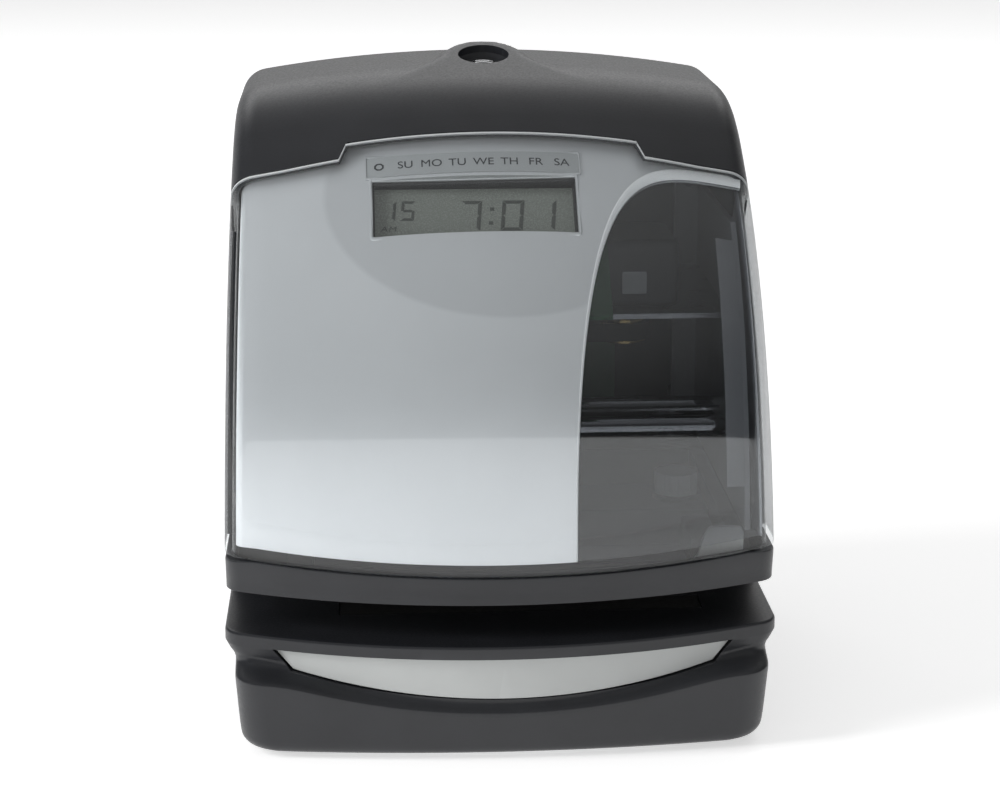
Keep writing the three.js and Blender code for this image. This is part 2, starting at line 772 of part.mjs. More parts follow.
function upperJaw() {
  const outer = planOutline(JAW_Y, JAW_HALF_WIDTH, LIP_BOW_RADIUS, JAW_CORNER, BACK_Y);
  const face = planOutline(JAW_Y - 1.6, JAW_HALF_WIDTH, LIP_BOW_RADIUS, JAW_CORNER, BACK_Y);
  const body = stack([
    outlineAt(outer, () => LIP_TOP + GAP),
    outlineAt(outer, () => MOUTH_TOP),
    outlineAt(face, (x, y) => jawTop(x, y)),
  ]);
  const inner = planOutline(
    JAW_Y + JAW_WALL, JAW_HALF_WIDTH - JAW_WALL, LIP_BOW_RADIUS, JAW_CORNER, BACK_Y - JAW_WALL,
    8, 3,
  );
  const hollow = stack([
    outlineAt(inner, () => MOUTH_TOP + JAW_FLOOR),
    outlineAt(inner, () => 62),
  ]);
  const mouth = solid(
    block([-MOUTH_REACH, -MOUTH_REACH, 30], [MOUTH_REACH, MOUTH_BACK_Y, MOUTH_TOP]),
  );
  const well = solid(block([-70, MOUTH_BACK_Y + 3, 30], [70, BACK_Y - 4, 50]));
  const slot = solid(block([SLOT.left, SLOT.front, 40], [SLOT.right, SLOT.back, 50]));
  return piece(
    'upper_jaw',
    body.subtract(hollow).subtract(mouth).subtract(well).subtract(slot),
    blackPlastic,
  );
}

function platen() {
  const low = [SLOT.left - 1 + GAP, SLOT.front + 2.5 + GAP];
  const high = [SLOT.right + 1 - GAP, SLOT.back - 2.5 - GAP];
  return [
    piece('platen_pad', block([...low, 28.4], [...high, LIP_TOP - 0.1]), rubber),
    piece('platen_support', block([-52, -49, 25], [62, -35, 28.1]), steel),
  ];
}

function rearCover() {
  const filled = headSolid(CASE_WALL + 0.5, CASE_BOTTOM, BACK_Y + 1);
  const slab = solid(block([-90, REAR_COVER_Y, CASE_BOTTOM], [90, BACK_Y - 0.2, 178]));
  let cover = filled.intersect(slab);
  for (const z of steps(128, 152, 4)) {
    cover = cover.subtract(solid(block([-30, 70, z], [30, 80, z + 2.6])));
  }
  for (const [, x, z] of SCREW_SPOTS) {
    const standoff = alongY(x, z, FRAME_BACK_Y + GAP, REAR_COVER_Y + 1, 3.6);
    const hole = alongY(x, z, FRAME_BACK_Y - 1, BACK_Y, SCREW_RADIUS + GAP, 16);
    const recess = alongY(x, z, SCREW_HEAD_Y - 0.2, BACK_Y + 1, SCREW_HEAD_RADIUS + GAP);
    cover = cover.add(solid(standoff)).subtract(solid(hole)).subtract(solid(recess));
  }
  const inletHole = solid(block([-54, 70, 62], [-42, 80, 73]));
  return piece('rear_cover', cover.subtract(inletHole), blackPlastic);
}

function alongY(x, z, frontY, backY, radius, sides = 24) {
  const geometry = new THREE.CylinderGeometry(radius, radius, backY - frontY, sides);
  geometry.translate(x, (frontY + backY) / 2, z);
  return geometry;
}

// Cross-head screws through the rear cover's standoffs into the frames' rear flanges.
function rearScrews() {
  return SCREW_SPOTS.map(([where, x, z]) => {
    const head = solid(alongY(x, z, SCREW_HEAD_Y, BACK_Y - 0.4, SCREW_HEAD_RADIUS));
    const shank = solid(alongY(x, z, FRAME_BACK_Y - 4, SCREW_HEAD_Y + 0.5, SCREW_RADIUS, 16));
    const slots = [
      block([x - 1.8, BACK_Y - 1.2, z - 0.35], [x + 1.8, BACK_Y + 1, z + 0.35]),
      block([x - 0.35, BACK_Y - 1.2, z - 1.8], [x + 0.35, BACK_Y + 1, z + 1.8]),
    ];
    const cut = head.add(shank).subtract(solid(slots[0])).subtract(solid(slots[1]));
    return piece(`rear_screw_${where}`, cut, steel);
  });
}

// ---------------------------------------------------------------- printing works
function sideFrame(name, hand) {
  const heights = steps(FRAME_FOOT, 150, 12);
  const edge = heights.map((z) => {
    const station = faceStation(z + 4);
    return headPoint(station, placeAtX(FRAME_X, station, FRAME_DEPTH), FRAME_DEPTH);
  });
  const outline = new THREE.Shape();
  outline.moveTo(edge[0].y, edge[0].z);
  edge.slice(1).forEach((p) => outline.lineTo(p.y, p.z));
  outline.lineTo(FRAME_BACK_Y, edge[edge.length - 1].z);
  outline.lineTo(FRAME_BACK_Y, edge[0].z);
  const plate = new THREE.ExtrudeGeometry(outline, { depth: FRAME_SHEET, bevelEnabled: false });
  plate.rotateY(Math.PI / 2);
  plate.rotateX(Math.PI / 2);
  plate.translate(FRAME_X, 0, 0);
  const flangeRow = (z, depth) => {
    const station = faceStation(z);
    return [FRAME_X - 5.4, FRAME_X + 1].map((x) => {
      return headPoint(station, placeAtX(x, station, depth), depth);
    });
  };
  const flange = sheet(
    steps(76, 149, 9).map((z) => {
      return { front: flangeRow(z, FRAME_DEPTH), rear: flangeRow(z, FRAME_DEPTH + FRAME_SHEET) };
    }),
  );
  const rearFlange = block(
    [FRAME_X - 7.5, FRAME_BACK_Y - FRAME_SHEET, FRAME_FOOT + 3],
    [FRAME_X + 1, FRAME_BACK_Y, 146],
  );
  let body = solid(plate).add(flange).add(solid(rearFlange));
  for (const z of [140, 67]) {
    body = body.subtract(solid(alongY(66, z, 50, 65, SCREW_RADIUS + 0.1, 16)));
  }
  for (const y of [ROD_FRONT_Y, ROD_REAR_Y]) {
    const hole = rod(ROD_RADIUS + 0.15, 20, 20);
    hole.rotateZ(Math.PI / 2);
    hole.translate(FRAME_X, y, ROD_Z);
    body = body.subtract(solid(hole));
  }
  if (hand < 0) body = body.mirror([1, 0, 0]);
  return piece(name, body, steel);
}

function guideRod(name, y) {
  const bar = rod(ROD_RADIUS, 2 * (FRAME_X + FRAME_SHEET), 24);
  bar.rotateZ(Math.PI / 2);
  bar.translate(0, y, ROD_Z);
  return piece(name, bar, chrome);
}

function carriage() {
  const half = CARRIAGE_WIDTH / 2;
  let body = solid(block([-half, -36, 78], [half, -2, 91]));
  const belt = BELT_Y - PULLEY_RADIUS - BELT_THICKNESS / 2;
  body = body.add(solid(block([-6, -6, 90], [6, 4.5, 100])));
  body = body.add(solid(block([-6, belt - 3.2, 99], [6, belt + 3.2, BELT_HIGH + 2])));
  body = body.subtract(
    solid(block([-9, belt - 1.1, BELT_LOW - 0.4], [9, belt + 1.1, BELT_HIGH + 4])),
  );
  for (const y of [ROD_FRONT_Y, ROD_REAR_Y]) {
    const hole = rod(ROD_RADIUS + 0.08, 60, 24);
    hole.rotateZ(Math.PI / 2);
    hole.translate(0, y, ROD_Z);
    body = body.subtract(solid(hole));
  }
  return piece('carriage', body.translate([CARRIAGE_X, 0, 0]), darkResin);
}

function printHead() {
  const body = solid(block([-13, -53, 60], [13, -37, 86]));
  const saddle = solid(block([-11, -40, 62], [11, -24, 77.6]));
  const nose = solid(block([-5, -46, 50], [5, -38, 61]));
  let head = body.add(saddle).add(nose);
  for (const z of steps(65, 83, 5)) {
    head = head.subtract(solid(block([-14, -54, z], [14, -50, z + 1.4])));
  }
  return piece('print_head', head.translate([CARRIAGE_X, 0, 0]), darkResin);
}

function ribbonCassette() {
  const floor = MOUTH_TOP + JAW_FLOOR + GAP;
  const body = solid(block([-60, -28, floor], [62, -2, 58]));
  const leftArm = solid(block([-60, -50, floor], [-53, -27, 56]));
  const rightArm = solid(block([54, -50, floor], [62, -27, 56]));
  const hub = solid(post(54, -15, 57, 59.4, 7, 24));
  return [
    piece('ribbon_cassette', body.add(leftArm).add(rightArm).add(hub), darkResin),
    piece('ribbon_band', block([-52.7, -47, 48.2], [53.7, -36, 48.7]), ribbonInk),
    piece('ribbon_tab', ribbonTab(), paleResin),
    piece('ribbon_knob', ribbonKnob(), paleResin),
  ];
}

// The grip of the cassette: a plate that swells up from the left to a flat rounded top.
function ribbonTab() {
  const shape = new THREE.Shape();
  shape.moveTo(54.2, 48.2);
  shape.lineTo(54.2, 50.5);
  shape.bezierCurveTo(57, 51, 56.5, 60.2, 60, 60.2);
  shape.lineTo(66.6, 60.2);
  shape.absarc(66.6, 58.2, 2, Math.PI / 2, 0, true);
  shape.lineTo(68.6, 48.2);
  const plate = new THREE.ExtrudeGeometry(shape, {
    depth: 1.6,
    bevelEnabled: false,
    curveSegments: 10,
  });
  plate.rotateX(Math.PI / 2);
  plate.translate(0, -50.4, 0);
  return plate;
}

function ribbonKnob() {
  let knob = solid(post(54, -15, 59.7, 66, 6.4, 24));
  for (const angle of steps(0, Math.PI * 2, 12).slice(1)) {
    const x = 54 + 6.8 * Math.cos(angle);
    const y = -15 + 6.8 * Math.sin(angle);
    knob = knob.subtract(solid(post(x, y, 61, 67, 1, 8)));
  }
  return knob;
}

function shelf() {
  const plate = solid(block([GAP - FRAME_X, -14, SHELF_Z], [FRAME_X - GAP, 58, SHELF_Z + 1.5]));
  const shaftHole = solid(post(DRIVE_X, BELT_Y, 100, 120, 3.5, 20));
  const pinHole = solid(post(IDLER_X, BELT_Y, 100, 120, 2.6, 20));
  return piece('cross_plate', plate.subtract(shaftHole).subtract(pinHole), steel);
}

function drive() {
  const motor = solid(new RoundedBoxGeometry(30, 30, 20, 2, 2))
    .translate([DRIVE_X, BELT_Y, SHELF_Z + 1.5 + GAP + 10]);
  const shaftBore = solid(post(DRIVE_X, BELT_Y, 110, 120, 2.2, 20));
  const pulley = solid(post(DRIVE_X, BELT_Y, BELT_LOW - 1, BELT_HIGH + 1, PULLEY_RADIUS, 28));
  const shaft = solid(post(DRIVE_X, BELT_Y, BELT_HIGH, 118.8, 2, 20));
  const idler = ring(IDLER_X, BELT_Y, BELT_LOW - 1, BELT_HIGH + 1, 2.3, PULLEY_RADIUS, 28);
  const pin = solid(post(IDLER_X, BELT_Y, 99.5, 113.5, 2.2, 20)).add(
    solid(post(IDLER_X, BELT_Y, 98, 99.8, 4, 20)),
  );
  return [
    piece('carriage_motor', motor.subtract(shaftBore), darkResin),
    piece('drive_pulley', pulley.add(shaft), brass),
    piece('idler_pulley', idler, brass),
    piece('idler_pin', pin, steel),
    piece('drive_belt', beltLoop(), rubber),
  ];
}

function beltLoop() {
  const racetrack = (radius, low, high) => {
    const shape = new THREE.Shape();
    shape.absarc(DRIVE_X, BELT_Y, radius, -Math.PI / 2, Math.PI / 2, false);
    shape.absarc(IDLER_X, BELT_Y, radius, Math.PI / 2, Math.PI * 1.5, false);
    const geometry = new THREE.ExtrudeGeometry(shape, {
      depth: high - low,
      bevelEnabled: false,
      curveSegments: 14,
    });
    geometry.translate(0, 0, low);
    return solid(geometry);
  };
  return racetrack(PULLEY_RADIUS + 0.15 + BELT_THICKNESS, BELT_LOW, BELT_HIGH).subtract(
    racetrack(PULLEY_RADIUS + 0.15, BELT_LOW - 1, BELT_HIGH + 1),
  );
}

function electronics() {
  const capacitors = [1, 2].map((n) => {
    const can = rod(5, 14, 20);
    can.translate(-30 + n * 14, 57.7, 84);
    return piece(`capacitor_${n}`, can, darkResin);
  });
  return [
    piece('main_board', block([-55.5, 65, 60], [44, 66.6, 124]), boardGreen),
    piece('processor_chip', block([4, 62.6, 76], [22, 64.7, 94]), darkResin),
    ...capacitors,
    piece('backup_battery', block([-46, 30, 57.6], [4, 44, 84]), batteryWrap),
    piece('dc_inlet', dcInlet(), darkResin),
  ];
}

function dcInlet() {
  const body = solid(block([-53.6, 67, 62.4], [-42.4, 75.6, 72.6]));
  const socket = rod(3.1, 8, 20);
  socket.translate(-48, 72.8, 67.5);
  return body.subtract(solid(socket));
}

// ---------------------------------------------------------------- screen and keys
// Moves a shape built flat, x right, y up the screen, z out of it, behind the face.
function behindFace(geometry, depth) {
  const middle = faceStation(SCREEN_Z);
  const placed = new THREE.BufferGeometry().copy(geometry);
  placed.rotateX(Math.PI / 2 - SCREEN_LEAN);
  placed.translate(
    SCREEN_X,
    middle.y + depth * Math.cos(SCREEN_LEAN),
    middle.z - depth * Math.sin(SCREEN_LEAN),
  );
  return placed;
}

function screen() {
  const glass = new THREE.BoxGeometry(64, 20, 2);
  const rim = solid(new THREE.BoxGeometry(69, 25, 3)).subtract(
    solid(new THREE.BoxGeometry(64.6, 20.6, 6)),
  );
  const board = new THREE.BoxGeometry(76, 44, 1.6);
  board.translate(0, -10, 0);
  const keys = steps(-27, 27, 3).map((x, n) => {
    const cap = rod(2.6, 3, 18);
    cap.rotateX(Math.PI / 2);
    cap.translate(x, -22, 0);
    return piece(`setup_key_${n + 1}`, behindFace(cap, 11.6), paleResin);
  });
  return [
    piece('lcd_glass', behindFace(glass, 9.8), screenGlass),
    piece('lcd_frame', behindFace(geometryOf(rim), 11), darkResin),
    piece('display_board', behindFace(board, 15), boardGreen),
    ...keys,
  ];
}

function lockCatch() {
  const arm = solid(block([15, 38, 138], [16.6, 72.4, 160]));
  const lip = solid(block([8.4, 40, 158.4], [16, 56, 160]));
  const foot = solid(block([15, 70.8, 138], [30, 72.4, 160]));
  return piece('lock_catch', arm.add(lip).add(foot), steel);
}

// ---------------------------------------------------------------- assembly
const clock = new THREE.Group();
clock.add(
  baseHousing(),
  bottomPlate(),
  ...feet(),
  printBar(),
  ...printSwitch(),
  upperJaw(),
  ...platen(),
  rearCover(),
  ...rearScrews(),
  sideFrame('side_frame_left', -1),
  sideFrame('side_frame_right', 1),
  guideRod('guide_rod_front', ROD_FRONT_Y),
  guideRod('guide_rod_rear', ROD_REAR_Y),
  carriage(),
  printHead(),
  ...ribbonCassette(),
  shelf(),
  ...drive(),
  ...electronics(),
  ...screen(),
  lockCatch(),
  hood(),
  clearCover(),
  displayPanel(),
  windowLens(),
  weekdayLabel(),
  ...lockParts(),
);

export default clock;
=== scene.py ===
"""Document time stamp: looks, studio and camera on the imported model.

Lengths of the part are millimetres and become metres as each mesh is made.
The studio and the camera are in metres.
"""

import math

import bmesh
import bpy
from mathutils import Matrix, Vector


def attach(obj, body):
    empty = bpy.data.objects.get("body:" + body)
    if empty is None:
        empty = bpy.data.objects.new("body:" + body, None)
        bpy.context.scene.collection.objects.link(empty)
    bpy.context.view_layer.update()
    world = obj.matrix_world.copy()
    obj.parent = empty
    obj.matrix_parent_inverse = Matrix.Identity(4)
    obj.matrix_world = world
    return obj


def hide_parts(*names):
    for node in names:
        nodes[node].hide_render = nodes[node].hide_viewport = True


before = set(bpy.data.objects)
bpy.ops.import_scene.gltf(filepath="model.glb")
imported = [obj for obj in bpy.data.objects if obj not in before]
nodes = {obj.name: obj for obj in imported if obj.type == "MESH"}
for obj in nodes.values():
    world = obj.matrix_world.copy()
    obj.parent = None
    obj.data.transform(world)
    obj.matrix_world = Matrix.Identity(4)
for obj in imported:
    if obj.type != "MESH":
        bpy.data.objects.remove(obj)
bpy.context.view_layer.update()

# ---- sizes of the head ----
BACK_Y = 76.0
FACE_ARC = (76.4, 39.9, 150.0)
BROW_ARC = (40.4, 102.3, 78.0)
BROW_LEAN = math.pi / 3
BROW_Z = FACE_ARC[1] + FACE_ARC[2] * math.sin(BROW_LEAN)
HEAD_HALF_WIDTH = 77.6
TAPER_FROM = 55.0
TAPER_RATE = 0.00028
CORNER_RADIUS = 9.0
FACE_BOW_RADIUS = 180.0
ROOF_BOW_RADIUS = 440.0
CASE_WALL = 2.4
CASE_BOTTOM = 55.4
COVER_WALL = 2.2
COVER_SIDE = 14.0
COVER_TAPER = 3.0
COVER_EDGE = 0.4
COVER_RIM = 0.35
COVER_FOOT_ROUND = 0.3
COVER_FOOT_RUN = 0.5
COVER_BOTTOM = 53.7
COVER_BOTTOM_RISE = 1.7
TAB_HALF_WIDTH = 42.0
TAB_STEP = 2.0
TAB_TOP = 165.9
TAB_DROP = 0.65
SHOULDER_TOP = 161.9
SHOULDER_DROP = 0.8
SHOULDER_RUN = 18.0
PANEL_DEPTH = 3.2
PANEL_WALL = 1.4
PANEL_HALF_WIDTH = 71.2
LENS_HALF_WIDTH = 75.6
LENS_DEPTH = PANEL_DEPTH + 0.75
LENS_GAP = 0.1
SHADE_X = 4.0
SHADE_Z = 149.0
SHADE_HALF_WIDTH = 52.4
SHADE_HALF_HEIGHT = 28.5
PANEL_TOP = 168.2
PANEL_SIDE = COVER_SIDE - 1.5
RETURN_TOP = 159.7
RETURN_WALL = 1.0
PANEL_RISE = 2.4
WINDOW_LEFT = 20.8
WINDOW_RIGHT = 72.0
WINDOW_FOOT = 57.0
WINDOW_TOP = 159.8
WINDOW_CURVE = (2.4, 0.23)
BEZEL_SIDE = 0.8
BEZEL_TOP = 2.2
BEZEL_WALL = 0.4
BEZEL_PROFILE = [(0.0, 3.2), (0.12, 3.08), (0.9, 3.95), (1.0, 4.3), (1.05, 4.9)]
BEZEL_END = [(WINDOW_TOP + BEZEL_TOP * (1 - across), depth) for across, depth in BEZEL_PROFILE]
LCD_LEFT, LCD_RIGHT, LCD_LOW, LCD_HIGH = -35.1, 23.75, 143.7, 157.45
LABEL_LEFT, LABEL_RIGHT, LABEL_LOW, LABEL_HIGH = -36.6, 25.1, 158.2, 163.0
DAYS = ["SU", "MO", "TU", "WE", "TH", "FR", "SA"]
DAY_SIZE = 4.0
DAY_FIRST = 11.3
DAY_PITCH = 7.55
DAY_MARK = 3.7
DAY_MARK_PROFILE = [(1.5, 0.0), (1.5, 0.03), (0.95, 0.03), (0.95, 0.0)]
# Rims as (growth past the opening, depth under the face), in order round the section.
SCREEN_RIM = [(0.9, 3.25), (0.7, 2.92), (0.25, 2.86), (-0.05, 3.1), (-0.1, 3.7), (0.9, 3.7)]
SCREEN_SHROUD = [(-0.06, 3.6), (-0.3, 5.5), (-0.4, 8.4), (0.3, 8.4), (0.6, 5.0), (0.3, 3.8)]
LABEL_RIM = [(0.35, 3.18), (0.28, 2.7), (0.0, 2.7), (-0.08, 3.0)]
SCREEN_Z = 150.6
SCREEN_X = -5.7
SCREEN_DEPTH = 8.8
SCREEN_LEAN = math.asin((SCREEN_Z - FACE_ARC[1]) / FACE_ARC[2])
LOCK_Y, LOCK_Z = 41.0, 182.7
LOCK_LEAN = math.radians(15)
LOCK_BORE = 7.75
LOCK_SIDES = 64
SOCKET_LOW, SOCKET_HIGH = -13.0, -2.2
SOCKET_RADIUS = 11.0
BOSS_FRONT_Y, BOSS_FRONT_Z = 21.5, 178.0
BOSS_SLOPE = math.tan(math.radians(14))
BOSS_FRONT_HALF_WIDTH = 26.0
BOSS_NOSE_RADIUS = 10.5
BOSS_SKIRT = 7.0
BOSS_BACK_Y = 60.0
BOSS_REACH = 34.0

# ---- sizes of the lower body ----
LIP_Y = -76.0
LIP_HALF_WIDTH = 77.9
LIP_BOW_RADIUS = 180.0
LIP_CORNER = 8.0
LIP_TOP = 34.6
LIP_FOOT = 31.0
WAIST_HALF_WIDTH = 75.0
FOOT_HALF_WIDTH = 73.9
BASE_BOW_RADIUS = 460.0
BASE_CORNER = 10.0
BACK_CORNER = 4.0
BASE_UNDERSIDE = 1.5
BASE_WALL = 2.4
CREASE_Z = 14.5
CREASE_RISE = 6.0
CREASE_SIDE_Z = 22.5
CREASE_SPREAD = 53.0
CREASE_BLEND = 1.2
BAR_TIP = 64.4
BAR_LOWER_CORNER = 59.3
BAR_LOWER_CORNER_Z = 25.0
BAR_LOWEST_Z = 18.3
BAR_CLEARANCE = 0.6
JAW_Y = -71.0
JAW_HALF_WIDTH = 77.4
JAW_CORNER = 7.0
JAW_FRONT_HALF = 69.0
JAW_SIDE_RUN = 8.0
JAW_LEAN = 1.6
MOUTH_TOP = 45.0
MOUTH_REACH = 90.0
MOUTH_BACK_Y = -17.0
JAW_FLOOR = 2.2
JAW_WALL = 2.6
SLOT_LEFT, SLOT_RIGHT, SLOT_FRONT, SLOT_BACK = -45.0, 57.0, -50.0, -34.0
GAP = 0.3
MOTOR_PLATE = (38.2, 45.4, 118.0, 124.6)
MOTOR_PLATE_Y = (-7.05, -7.2)
FACE_FOOT = 58.0
FACE_FOOT_RUN = 14.0


def metres(point):
    return Vector(point) * 0.001


def mix(a, b, share):
    return a + (b - a) * share


def clamp01(value):
    return min(1.0, max(0.0, value))


def ease(share):
    share = clamp01(share)
    return share * share * (3 - 2 * share)


def steps(start, end, count):
    return [mix(start, end, i / count) for i in range(count + 1)]


# ---- head surface ----
# A station is (y, z, lean) on the centre profile. A place across the head is
# (share of the bowed face, share of the corner passed, distance back on the side).
def face_station(z):
    arc = FACE_ARC if z <= BROW_Z else BROW_ARC
    lean = math.asin(min(1.0, (z - arc[1]) / arc[2]))
    return (arc[0] - arc[2] * math.cos(lean), z, lean)


def brow_station(lean):
    return (
        BROW_ARC[0] - BROW_ARC[2] * math.cos(lean),
        BROW_ARC[1] + BROW_ARC[2] * math.sin(lean),
        lean,
    )


def roof_station(y):
    return (y, BROW_ARC[1] + BROW_ARC[2], math.pi / 2)


def bow_radius(lean):
    return 1 / mix(1 / FACE_BOW_RADIUS, 1 / ROOF_BOW_RADIUS, math.sin(lean) ** 2)


def taper(z):
    return 1 - TAPER_RATE * (z - TAPER_FROM)


def corner_sine(bow):
    return (HEAD_HALF_WIDTH - CORNER_RADIUS) / (bow - CORNER_RADIUS)


def places_across(shares, sides=()):
    """Places from the left side round both corners to the right side."""
    half = [(1, corner, 0) for corner in steps(0, 1, 12)[1:]] + [(1, 1, side) for side in sides]
    mirrored = [(-1, corner, side) for _, corner, side in reversed(half)]
    return mirrored + [(share, 0, 0) for share in shares] + half


def place_at_x(x, station):
    bow = bow_radius(station[2])
    return (x / (bow * corner_sine(bow) * taper(station[1])), 0.0, 0.0)


def head_point(station, place, depth):
    """Point of the head's surface, set in by a depth."""
    share, corner, side = place
    y0, z0, lean = station
    bow = bow_radius(lean)
    sine = corner_sine(bow)
    hand = -1 if share < 0 else 1
    if corner == 0:
        turn = math.asin(abs(share) * sine)
        x = (bow - depth) * math.sin(turn)
        back = bow - (bow - depth) * math.cos(turn)
    else:
        start = math.asin(sine)
        turn = mix(start, math.pi / 2, corner)
        reach = CORNER_RADIUS - depth
        x = HEAD_HALF_WIDTH - CORNER_RADIUS + reach * math.sin(turn)
        back = bow - (bow - CORNER_RADIUS) * math.cos(start) - reach * math.cos(turn) + side
    y = y0 + back * math.cos(lean)
    z = z0 - back * math.sin(lean)
    return Vector((hand * x * taper(z), y, z))


def station_through(z, place, depth):
    """The station whose point at this place and depth has the height z."""
    station = face_station(z)
    for _ in range(12):
        station = face_station(station[1] + z - head_point(station, place, depth).z)
    return station


def cover_top(place):
    """Height of the cover's upper edge: a raised tab between two shoulders."""
    share, corner, _ = place
    if corner > 0:
        return SHOULDER_TOP - SHOULDER_DROP
    x = abs(head_point(face_station(TAB_TOP), place, 0).x)
    if x <= TAB_HALF_WIDTH:
        return TAB_TOP - TAB_DROP * (x / TAB_HALF_WIDTH) ** 2
    passed = clamp01((x - TAB_HALF_WIDTH) / TAB_STEP)
    shoulder = SHOULDER_TOP - SHOULDER_DROP * clamp01((x - TAB_HALF_WIDTH) / SHOULDER_RUN)
    return mix(TAB_TOP - TAB_DROP, shoulder, passed)


def cover_bottom(place):
    rise = COVER_BOTTOM_RISE * min(1.0, abs(place[0])) ** 2
    return COVER_BOTTOM + rise + (CASE_BOTTOM - COVER_BOTTOM - COVER_BOTTOM_RISE) * place[1]


def panel_edge(z):
    return PANEL_HALF_WIDTH * taper(z)


def lens_edge(z):
    return LENS_HALF_WIDTH * taper(z)


def window_edge(share, foot_x, top):
    """Point (x, z) of a window outline, share 0 at its foot and 1 at its top."""
    z = mix(WINDOW_FOOT, top, share)
    x = mix(foot_x, WINDOW_RIGHT, 1 - (1 - min(1.0, share) ** WINDOW_CURVE[0]) ** WINDOW_CURVE[1])
    return min(x, panel_edge(z)), z


def bezel_share(z):
    return clamp01((z - WINDOW_FOOT) / (WINDOW_TOP + BEZEL_TOP - WINDOW_FOOT))


def bezel_left(z):
    return window_edge(bezel_share(z), WINDOW_LEFT - BEZEL_SIDE, WINDOW_TOP + BEZEL_TOP)[0]


def window_left(z):
    share = clamp01((z - WINDOW_FOOT) / (WINDOW_TOP - WINDOW_FOOT))
    return window_edge(share, WINDOW_LEFT, WINDOW_TOP)[0]


def on_face(x, z, depth):
    """Point behind (x, z) of the bowed face, at a depth under its surface."""
    station = face_station(z)
    return head_point(station, place_at_x(x, station), depth)


def above_cover_foot(x, z, depth):
    """Height z lifted, where needed, to clear the lower edge of the face behind the cover."""
    place = place_at_x(x, face_station(z))
    low = station_through(cover_bottom(place) + PANEL_RISE, place, depth)[1]
    if z >= FACE_FOOT + FACE_FOOT_RUN:
        return z
    return mix(low, FACE_FOOT + FACE_FOOT_RUN, clamp01((z - FACE_FOOT) / FACE_FOOT_RUN))


def brow_z(y):
    if y >= BROW_ARC[0]:
        return BROW_ARC[1] + BROW_ARC[2]
    return BROW_ARC[1] + math.sqrt(BROW_ARC[2] ** 2 - (BROW_ARC[0] - y) ** 2)


def boss_rise(x, y):
    """How far the boss round the lock stands above the brow and roof."""
    if y < BOSS_FRONT_Y - 1 or y > BOSS_BACK_Y or abs(x) > BOSS_REACH:
        return 0.0
    height = BOSS_FRONT_Z + (y - BOSS_FRONT_Y) * BOSS_SLOPE - brow_z(y)
    half = mix(BOSS_FRONT_HALF_WIDTH, BOSS_NOSE_RADIUS, (y - BOSS_FRONT_Y) / (LOCK_Y - BOSS_FRONT_Y))
    outside = abs(x) - half if y < LOCK_Y else math.hypot(x, y - LOCK_Y) - BOSS_NOSE_RADIUS
    return max(0.0, height) * (1 - ease(outside / BOSS_SKIRT))


# ---- mesh helpers ----
def object_from(name, points, faces, scale=0.001):
    mesh = bpy.data.meshes.new(name)
    mesh.from_pydata([tuple(Vector(p) * scale) for p in points], [], faces)
    mesh.validate()
    obj = bpy.data.objects.new(name, mesh)
    bpy.context.scene.collection.objects.link(obj)
    return obj


def recalculate(obj, reach=0.0000005):
    """Joins points closer than reach metres and turns every face outwards."""
    bm = bmesh.new()
    bm.from_mesh(obj.data)
    bmesh.ops.remove_doubles(bm, verts=bm.verts, dist=reach)
    bmesh.ops.recalc_face_normals(bm, faces=bm.faces)
    bm.to_mesh(obj.data)
    bm.free()


def face_outwards(obj, outward):
    """Flips every face if, taken together, they look away from the given direction."""
    obj.data.update()
    total = Vector((0, 0, 0))
    for polygon in obj.data.polygons:
        total += polygon.normal * polygon.area
    if total.dot(outward) < 0:
        obj.data.flip_normals()


def ring_faces(rings, count, closed=False):
    """Quads between rings of count points; closed joins the last ring to the first."""
    faces = []
    for i in range(rings if closed else rings - 1):
        after = (i + 1) % rings * count
        for j in range(count):
            k = (j + 1) % count
            faces.append((i * count + j, i * count + k, after + k, after + j))
    return faces


def band(name, rings, scale=0.001):
    """Closed band from rings of points, the last one joined to the first."""
    points = [point for ring in rings for point in ring]
    obj = object_from(name, points, ring_faces(len(rings), len(rings[0]), closed=True), scale)
    recalculate(obj)
    return obj


def closed_stack(name, rows):
    """A solid from closed rings, flat at both ends."""
    count = len(rows[0])
    points = [point for row in rows for point in row]
    ends = [tuple(reversed(range(count))), tuple(range(len(points) - count, len(points)))]
    obj = object_from(name, points, ends + ring_faces(len(rows), count))
    recalculate(obj)
    return obj


def prism(name, outline, start, end, axis):
    """A flat outline of (u, v) drawn out along y or z from start to end."""
    rows = []
    for reach in (start, end):
        if axis == "y":
            rows.append([Vector((u, reach, v)) for u, v in outline])
        else:
            rows.append([Vector((u, v, reach)) for u, v in outline])
    return closed_stack(name, rows)


def box(name, low, high):
    corners = [(low[0], low[1]), (high[0], low[1]), (high[0], high[1]), (low[0], high[1])]
    return prism(name, corners, low[2], high[2], "z")


def turned(profile, sides, start=0.0):
    """Sections of a closed profile of (radius, height) turned about z."""
    angles = steps(start, start + 2 * math.pi, sides)[:-1]
    return [[Vector((r * math.cos(a), r * math.sin(a), z)) for r, z in profile] for a in angles]


def skin(rows, shown=None):
    """Quads between equal rows of points; shown(i, j) says which cells are kept."""
    columns = len(rows[0])
    points = [p for row in rows for p in row]
    faces = []
    for i in range(len(rows) - 1):
        for j in range(columns - 1):
            if shown is None or shown(i, j):
                a = i * columns + j
                faces.append((a, a + 1, a + columns + 1, a + columns))
    return points, faces


def add_wall(obj, wall, even=False):
    solidify = obj.modifiers.new("wall", "SOLIDIFY")
    solidify.thickness = wall * 0.001
    solidify.offset = -1
    solidify.use_even_offset = even


def sheet(name, rows, outward, shown=None):
    """An open surface from rows of points, facing the given way."""
    obj = object_from(name, *skin(rows, shown))
    face_outwards(obj, Vector(outward))
    return obj


